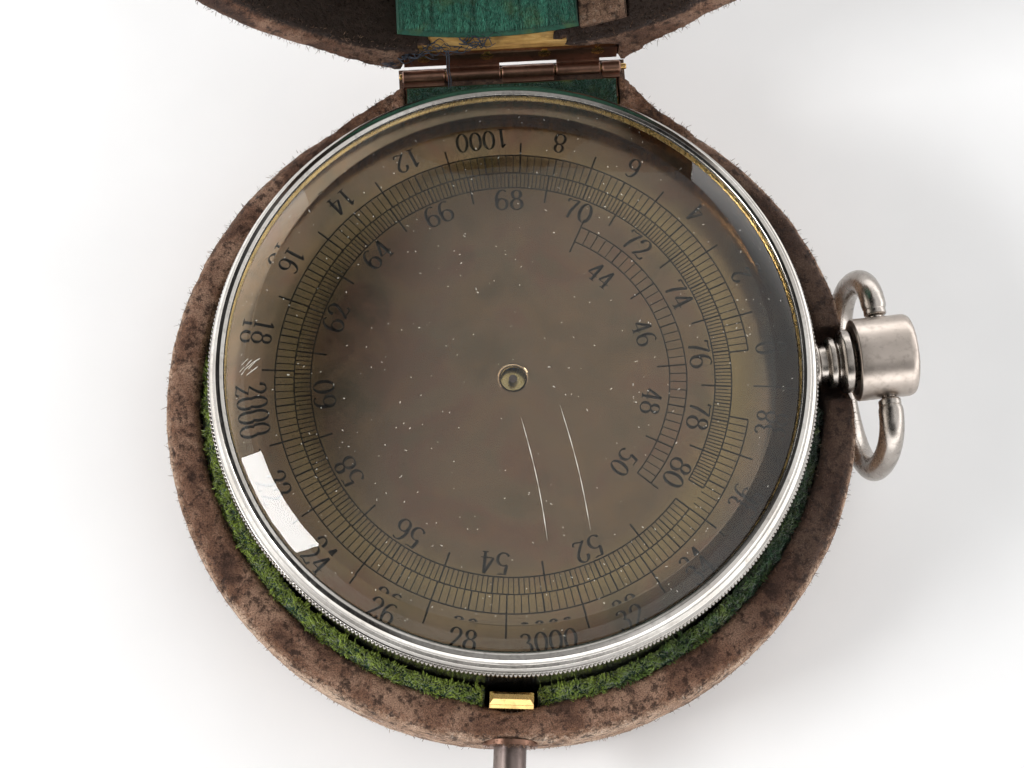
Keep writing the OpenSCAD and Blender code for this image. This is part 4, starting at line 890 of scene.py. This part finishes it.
def bars(th_deg, r0, r1, w):
    """radial bars at local angles; one closed box each."""
    th = np.radians(np.asarray(th_deg, float)); n = len(th); r0 = np.broadcast_to(r0, (n,)); r1 = np.broadcast_to(r1, (n,)); w = np.broadcast_to(w, (n,))
    c, s = np.cos(th), np.sin(th); V = []
    for zz_ in (ZT - TH, ZT):
        for rr_, sg in ((r0, -1), (r1, -1), (r1, 1), (r0, 1)):
            V.append(np.stack([rr_ * c - sg * w / 2 * s, rr_ * s + sg * w / 2 * c, np.full(n, zz_)], -1))
    V = np.stack(V, 1).reshape(-1, 3); b = (np.arange(n) * 8)[:, None]
    F = np.array([[0, 3, 2, 1], [4, 5, 6, 7], [0, 1, 5, 4], [1, 2, 6, 5], [2, 3, 7, 6], [3, 0, 4, 7]])
    return V, [(b[:, None, :] + F[None]).reshape(-1, 4)]


LOC = -6.5
pA = lambda p_: 7.5 + 752 * np.log(76.0 / p_) + LOC
ps = np.arange(500, 801) / 10.0
is_cm = (np.arange(500, 801) % 10 == 0); is_half = (np.arange(500, 801) % 5 == 0) & ~is_cm; odd = is_cm & ((np.arange(500, 801) // 10) % 2 == 1)
tick_parts.append(bars(pA(ps[~is_cm & ~is_half]), 25.0, 26.98, 0.115))
tick_parts.append(bars(pA(ps[is_half]), 25.0, 26.98, 0.15)); tick_parts.append(bars(pA(ps[is_cm]), 25.0, 26.98, 0.2))
tick_parts.append(bars(pA(ps[odd]), 23.3, 25.0, 0.22))
hA = lambda h: 7.0 + 9.013 * h / 100.0 + LOC
hs = np.arange(0, 3801, 20); tick_parts.append(bars(hA(hs[hs % 100 != 0]), 27.02, 29.28, 0.12)); hs1 = np.arange(0, 3801, 100)
tick_parts.append(bars(hA(hs1), 27.02, 29.28, 0.2)); ho = hs1[(hs1 // 100) % 2 == 1]; tick_parts.append(bars(hA(ho), 29.3, 30.9, 0.22))
tick_parts.append(bars([358 + LOC], 29.6, 35.0, 0.2))
pB = lambda p_: -38.5 + 696 * np.log(50.0 / p_) + LOC
pb = np.arange(430, 501, 2) / 10.0; cmb = np.isclose(pb, np.round(pb)); tick_parts.append(bars(pB(pb[~cmb]), 19.42, 21.48, 0.12)); tick_parts.append(bars(pB(pb[cmb]), 19.42, 21.48, 0.19))
tick_parts.append(bars(pB(np.array([43.0, 45, 47, 49])), 17.9, 19.4, 0.2)); tick_parts.append(bars(pB(np.array([43.0, 50.0])), 21.5, 22.6, 0.19))


def arc_line(r, a0, a1, w=0.16):
    m = max(8, int(abs(a1 - a0) * 1.5)); v, p = arc_ring([(r - w / 2, ZT - TH), (r + w / 2, ZT - TH), (r + w / 2, ZT), (r - w / 2, ZT)], a0, a1, m); return v, p


for r_ in (25.0, 27.0): tick_parts.append(arc_line(r_, float(pA(80.0)), float(pA(50.0))))
tick_parts.append(arc_line(29.3, float(hA(0)), float(hA(3800))))
for r_ in (19.4, 21.5): tick_parts.append(arc_line(r_, float(pB(50.0)), float(pB(43.0))))


# digits as pen strokes: thick down, thin across
def ell(cx, cy, rx, ry, a0, a1, n=18):
    a_ = np.radians(np.linspace(a0, a1, n)); return np.stack([cx + rx * np.cos(a_), cy + ry * np.sin(a_)], -1)


DIG = {
    "0": [(ell(.3, .5, .25, .46, 90, 450, 30), True)],
    "1": [(np.array([[.32, 0], [.32, .25], [.32, .5], [.32, .75], [.32, .97]]), False), (np.array([[.32, .95], [.24, .86], [.14, .80]]), False), (np.array([[.13, .02], [.3, .02], [.5, .02]]), False)],
    "2": [(np.concatenate([ell(.29, .72, .22, .25, 190, -20, 16), np.array([[.42, .50], [.28, .30], [.13, .14], [.05, .04]])]), False), (np.array([[.05, .05], [.2, .09], [.38, .03], [.5, .04], [.56, .17]]), False)],
    "3": [(ell(.27, .75, .19, .21, 160, -80, 14), False), (ell(.27, .28, .25, .27, 75, -160, 18), False)],
    "4": [(np.array([[.40, .98], [.28, .74], [.15, .50], [.03, .29]]), False), (np.array([[.02, .28], [.2, .28], [.4, .28], [.58, .28]]), False), (np.array([[.41, .98], [.41, .65], [.41, .3], [.41, .02]]), False), (np.array([[.27, .02], [.41, .02], [.54, .02]]), False)],
    "5": [(np.array([[.50, .97], [.35, .94], [.15, .96]]), False), (np.array([[.16, .96], [.14, .78], [.11, .55]]), False), (ell(.27, .30, .26, .29, 128, -150, 20), False)],
    "6": [(np.concatenate([np.array([[.50, .90], [.40, .97]]), ell(.34, .50, .29, .47, 95, 200, 12)]), False), (ell(.30, .28, .24, .27, 90, 450, 24), True)],
    "7": [(np.array([[.06, .80], [.08, .95], [.25, .91], [.4, .94], [.56, .97]]), False), (np.array([[.56, .97], [.42, .66], [.31, .38], [.26, .02]]), False)],
    "8": [(ell(.3, .75, .19, .21, 90, 450, 22), True), (ell(.3, .27, .245, .26, 90, 450, 24), True)],
    "9": [(ell(.30, .71, .24, .27, 90, 450, 24), True), (np.concatenate([ell(.26, .50, .29, .47, 20, -85, 12), np.array([[.18, .03], [.10, .10]])]), False)],
}


def stroke(pth, closed, h, thin=0.055, thick=0.15):
    P_ = np.array(pth, float)
    if closed: P_ = P_[:-1]
    m = len(P_); Tn = (np.roll(P_, -1, 0) - np.roll(P_, 1, 0)) if closed else np.gradient(P_, axis=0)
    Tn = Tn / np.maximum(np.linalg.norm(Tn, axis=1)[:, None], 1e-9); Nn = np.stack([-Tn[:, 1], Tn[:, 0]], -1)
    w = thin + (thick - thin) * np.abs(Tn[:, 1]) ** 2.0
    if not closed: w[0] *= 0.8; w[-1] *= 0.8
    a_ = (P_ + Nn * w[:, None] / 2) * h; b_ = (P_ - Nn * w[:, None] / 2) * h
    V = np.concatenate([np.c_[a_, np.full(m, ZT)], np.c_[b_, np.full(m, ZT)], np.c_[a_, np.full(m, ZT - TH)], np.c_[b_, np.full(m, ZT - TH)]])
    k = np.arange(m if closed else m - 1); k2 = (k + 1) % m
    Qd = [np.stack([k, k2, m + k2, m + k], -1)[:, ::-1], np.stack([2 * m + k, 2 * m + k2, 3 * m + k2, 3 * m + k], -1), np.stack([k, k2, 2 * m + k2, 2 * m + k], -1), np.stack([m + k, m + k2, 3 * m + k2, 3 * m + k], -1)[:, ::-1]]
    if not closed: Qd.append(np.array([[0, m, 3 * m, 2 * m], [m - 1, 2 * m - 1 + 0, 4 * m - 1, 3 * m - 1]]))
    return V, [np.concatenate(Qd)]


def label(txt, th_deg, r, h, outward):
    out = []; th = math.radians(th_deg); up = np.array([math.cos(th), math.sin(th)]) * (1 if outward else -1); right = np.array([up[1], -up[0]])
    adv = 0.68 * h; x = -adv * len(txt) / 2
    for ch in txt:
        for pth, cl_ in DIG[ch]:
            V, P_ = stroke(pth, cl_, h)
            u_ = V[:, 0] + x + 0.04 * h; w_ = V[:, 1] - h / 2
            XY = np.array([math.cos(th), math.sin(th)]) * r + u_[:, None] * right + w_[:, None] * up
            out.append((np.c_[XY, V[:, 2]], P_))
        x += adv
    return out


for p_ in range(52, 81, 2): tick_parts += label(str(p_), float(pA(p_)), 23.4, 2.75, True)
for h_ in range(0, 3801, 200):
    txt = str(h_) if h_ in (1000, 2000, 3000) else str(h_ // 100)
    tick_parts += label(txt, float(hA(h_)), 31.4, 2.5, False)
for p_ in (44, 46, 48, 50): tick_parts += label(str(p_), float(pB(p_)), 17.3, 2.5, True)
v, p = join(tick_parts)
inst("dial_figures", v, p, ink_m, sharp=None)

# dust and small scratches on the crystal
g = np.random.default_rng(41); n = int(420 / Q); rad = 34 * np.sqrt(g.uniform(0, 1, n)); a = g.uniform(0, 2 * np.pi, n)
zt = np.where(rad < 31.9, 38.1, 38.1 - (rad - 31.9) * 0.463)
P = np.stack([rad * np.cos(a), rad * np.sin(a), zt + 0.01], -1)
VV, PP, al, who = strands(P, np.stack([g.normal(0, 1, n), g.normal(0, 1, n), np.abs(g.normal(0, 0.15, n))], -1), g.uniform(0.04, 0.3, n) * g.uniform(0.2, 1, n), g.uniform(0.012, 0.045, n), g.normal(0, 0.03, (n, 3)) * [1, 1, 0.2])
VV[:, 2] = np.maximum(VV[:, 2], 36.7)
make("crystal_dust", VV, PP, dust_m, "bezel_unit", sharp=None)

parts = []
for (ax, ay), (bx_, by) in (((1.08, -6.9), (4.56, -21.8)), ((5.72, -5.27), (9.61, -20.44))):
    t = np.linspace(0, 1, 40); pth = np.stack([ax + (bx_ - ax) * t + 0.35 * np.sin(t * 3.0), ay + (by - ay) * t, np.full(40, 38.1)], -1)
    parts.append(tube(pth, 0.045 * (0.35 + 0.65 * np.abs(np.sin(3 + 17 * t))) * np.minimum(1, 6 * np.minimum(t, 1 - t) + 0.15), 6))
for k in range(9):
    c0 = np.array([-31.6, -1.2]) + g.normal(0, 0.8, 2); dd = unit(np.array([[-0.75 + 0.2 * g.normal(), -0.65 + 0.2 * g.normal()]]))[0] * g.uniform(0.5, 1.7); t = np.linspace(0, 1, 12)[:, None]
    pth = np.concatenate([c0 + dd * t, np.full((12, 1), 38.1)], 1); pth[:, 2] = np.where(np.hypot(pth[:, 0], pth[:, 1]) > 31.95, 38.1 - (np.hypot(pth[:, 0], pth[:, 1]) - 31.95) * 0.463, 38.1)
    parts.append(tube(pth, 0.035, 6))
v, p = join(parts)
make("crystal_scratches", v, p, dust_m, "bezel_unit", sharp=None)

# ------------------------------------------------------------------ CAD nodes that stay: materials and softened edges
keep = {"body_drum": nickel, "back_cover": nickel, "base_leaf_screws": brass, "lid_leaf_screws": brass, "latch_ferrule": copper, "latch_spring": steel, "lid_strike": brass, "strike_rivets": brass,
        "latch_pin": steel_dark, "latch_catch": brass, "movement_plate": brass_clean, "plate_screws": blued, "aneroid_capsule": capsule_m, "capsule_post": capsule_m, "spring_bridge": brass_clean,
        "bridge_screws": blued, "mainspring": blued, "main_lever": steel, "compensation_bar": brass_clean, "link_rod": steel, "rocking_shaft": steel, "shaft_posts": brass_clean, "arbor_plate": brass_clean,
        "arbor_pillars": brass_clean, "arbor_cock": brass_clean, "hand_arbor": steel_dark, "hairspring": blued, "pull_chain": brass_clean, "dial_pillars": brass_clean, "regulating_screw": steel_dark}
bevels = {"latch_pin": 0.22, "latch_catch": 0.12, "lid_strike": 0.08, "strike_rivets": 0.12, "latch_ferrule": 0.1, "body_drum": 0.08, "back_cover": 0.12, "base_leaf_screws": 0.04, "lid_leaf_screws": 0.04,
          "movement_plate": 0.12, "spring_bridge": 0.2, "arbor_plate": 0.1, "arbor_cock": 0.1, "main_lever": 0.1, "shaft_posts": 0.1, "plate_screws": 0.1, "bridge_screws": 0.1, "dial_pillars": 0.12, "arbor_pillars": 0.1, "capsule_post": 0.12, "mainspring": 0.05}
for n_, mt in keep.items():
    o = nodes[n_]; me = o.data
    if not me.materials: me.materials.append(mt)
    for i in range(len(me.materials)): me.materials[i] = mt
    me.shade_smooth(); me.set_sharp_from_angle(angle=math.radians(32))
    if n_ in bevels:
        b = o.modifiers.new("edge", "BEVEL"); b.width = bevels[n_] * MM; b.segments = 2; b.limit_method = "ANGLE"; b.angle_limit = math.radians(40); b.use_clamp_overlap = True

# ------------------------------------------------------------------ floor, light, camera
def plane(name, size, loc, mat):
    me = bpy.data.meshes.new(name); s = size / 2
    me.from_pydata([(-s, -s, 0), (s, -s, 0), (s, s, 0), (-s, s, 0)], [], [(0, 1, 2, 3)]); o = bpy.data.objects.new(name, me); o.location = loc
    scene.collection.objects.link(o); me.materials.append(mat); return o


fm = M("floor_paper"); nz = fm.noise(30.0, 3)
floor_m = fm.done(fm.ramp(nz, [(0.3, (0.86, 0.86, 0.86)), (0.7, (0.90, 0.90, 0.90))]), 0.9)
plane("floor", 8.0, (0, 0, -0.0002), floor_m)


def area(name, d, dist, size, power, target=(0, 0, 0.02), sy=None, color=(1, 1, 1)):
    L = bpy.data.lights.new(name, "AREA"); L.shape = "RECTANGLE"; L.size = size; L.size_y = sy or size; L.energy = power; L.color = color
    o = bpy.data.objects.new(name, L); scene.collection.objects.link(o)
    d = Vector(d).normalized(); o.location = Vector(target) + d * dist
    o.rotation_euler = d.to_track_quat("Z", "Y").to_euler(); return o


# one softbox at the left; the dim zenith, the pale panel overhead and the white surround are painted on the world
area("softbox_left", (-0.735, -0.215, 0.645), 0.6, 0.21, 2.2, sy=0.17)

w = bpy.data.worlds.new("studio"); scene.world = w; w.use_nodes = True; nt = w.node_tree; nt.nodes.clear()
tc = nt.nodes.new("ShaderNodeTexCoord"); sp = nt.nodes.new("ShaderNodeSeparateXYZ"); nt.links.new(tc.outputs["Generated"], sp.inputs[0])


def wm(op, *a_, clamp=False):
    n_ = nt.nodes.new("ShaderNodeMath"); n_.operation = op; n_.use_clamp = clamp
    for i, v_ in enumerate(a_):
        if isinstance(v_, bpy.types.NodeSocket): nt.links.new(v_, n_.inputs[i])
        else: n_.inputs[i].default_value = v_
    return n_.outputs[0]


def step(x, lo_, hi_, a_=0.0, b_=1.0):
    n_ = nt.nodes.new("ShaderNodeMapRange"); n_.interpolation_type = "SMOOTHSTEP"; nt.links.new(x, n_.inputs[0])
    for i, v_ in zip((1, 2, 3, 4), (lo_, hi_, a_, b_)): n_.inputs[i].default_value = v_
    return n_.outputs[0]


X, Y, Zd = sp.outputs
line = wm("SUBTRACT", wm("ADD", X, 0.08), wm("MULTIPLY", wm("SUBTRACT", Y, 0.17), 0.214))
zen = wm("MULTIPLY", step(line, -0.034, 0.022, 0.010, 0.46), step(X, 0.14, 0.26, 1.0, 2.6))
mid_ = step(wm("ADD", X, wm("MULTIPLY", Y, 0.6)), -0.20, 0.40, 0.04, 1.10)
top_ = step(Zd, 0.78, 0.90); low_ = step(Zd, 0.36, 0.50)
hor = step(X, -0.60, 0.20, 2.15, 3.05)
a1 = wm("ADD", wm("MULTIPLY", wm("SUBTRACT", 1.0, low_), hor), wm("MULTIPLY", low_, mid_))
a2 = wm("ADD", wm("MULTIPLY", wm("SUBTRACT", 1.0, top_), a1), wm("MULTIPLY", top_, zen))
bg = nt.nodes.new("ShaderNodeBackground"); nt.links.new(a2, bg.inputs[0]); bg.inputs[1].default_value = 1.0
ow = nt.nodes.new("ShaderNodeOutputWorld"); nt.links.new(bg.outputs[0], ow.inputs[0])

e = math.radians(74.373); roll = math.radians(1.699)
back = np.array([0, -math.cos(e), math.sin(e)]); right = np.array([1.0, 0, 0]); up = np.cross(back, right)
r2 = right * math.cos(roll) + up * math.sin(roll); u2 = -right * math.sin(roll) + up * math.cos(roll)
C = (back * 273.239 + r2 * -0.124 + u2 * -0.489 + np.array([0, 0, DIAL_Z])) * MM
cam_d = bpy.data.cameras.new("camera"); cam = bpy.data.objects.new("camera", cam_d); scene.collection.objects.link(cam)
cam.matrix_world = Matrix([[r2[0], u2[0], back[0], C[0]], [r2[1], u2[1], back[1], C[1]], [r2[2], u2[2], back[2], C[2]], [0, 0, 0, 1]])
cam_d.sensor_width = 36.0; cam_d.lens = 36.0 * 2200 / 1024; cam_d.clip_start = 0.01; cam_d.clip_end = 20
scene.camera = cam
scene.view_settings.view_transform = "Standard"; scene.view_settings.look = "None"
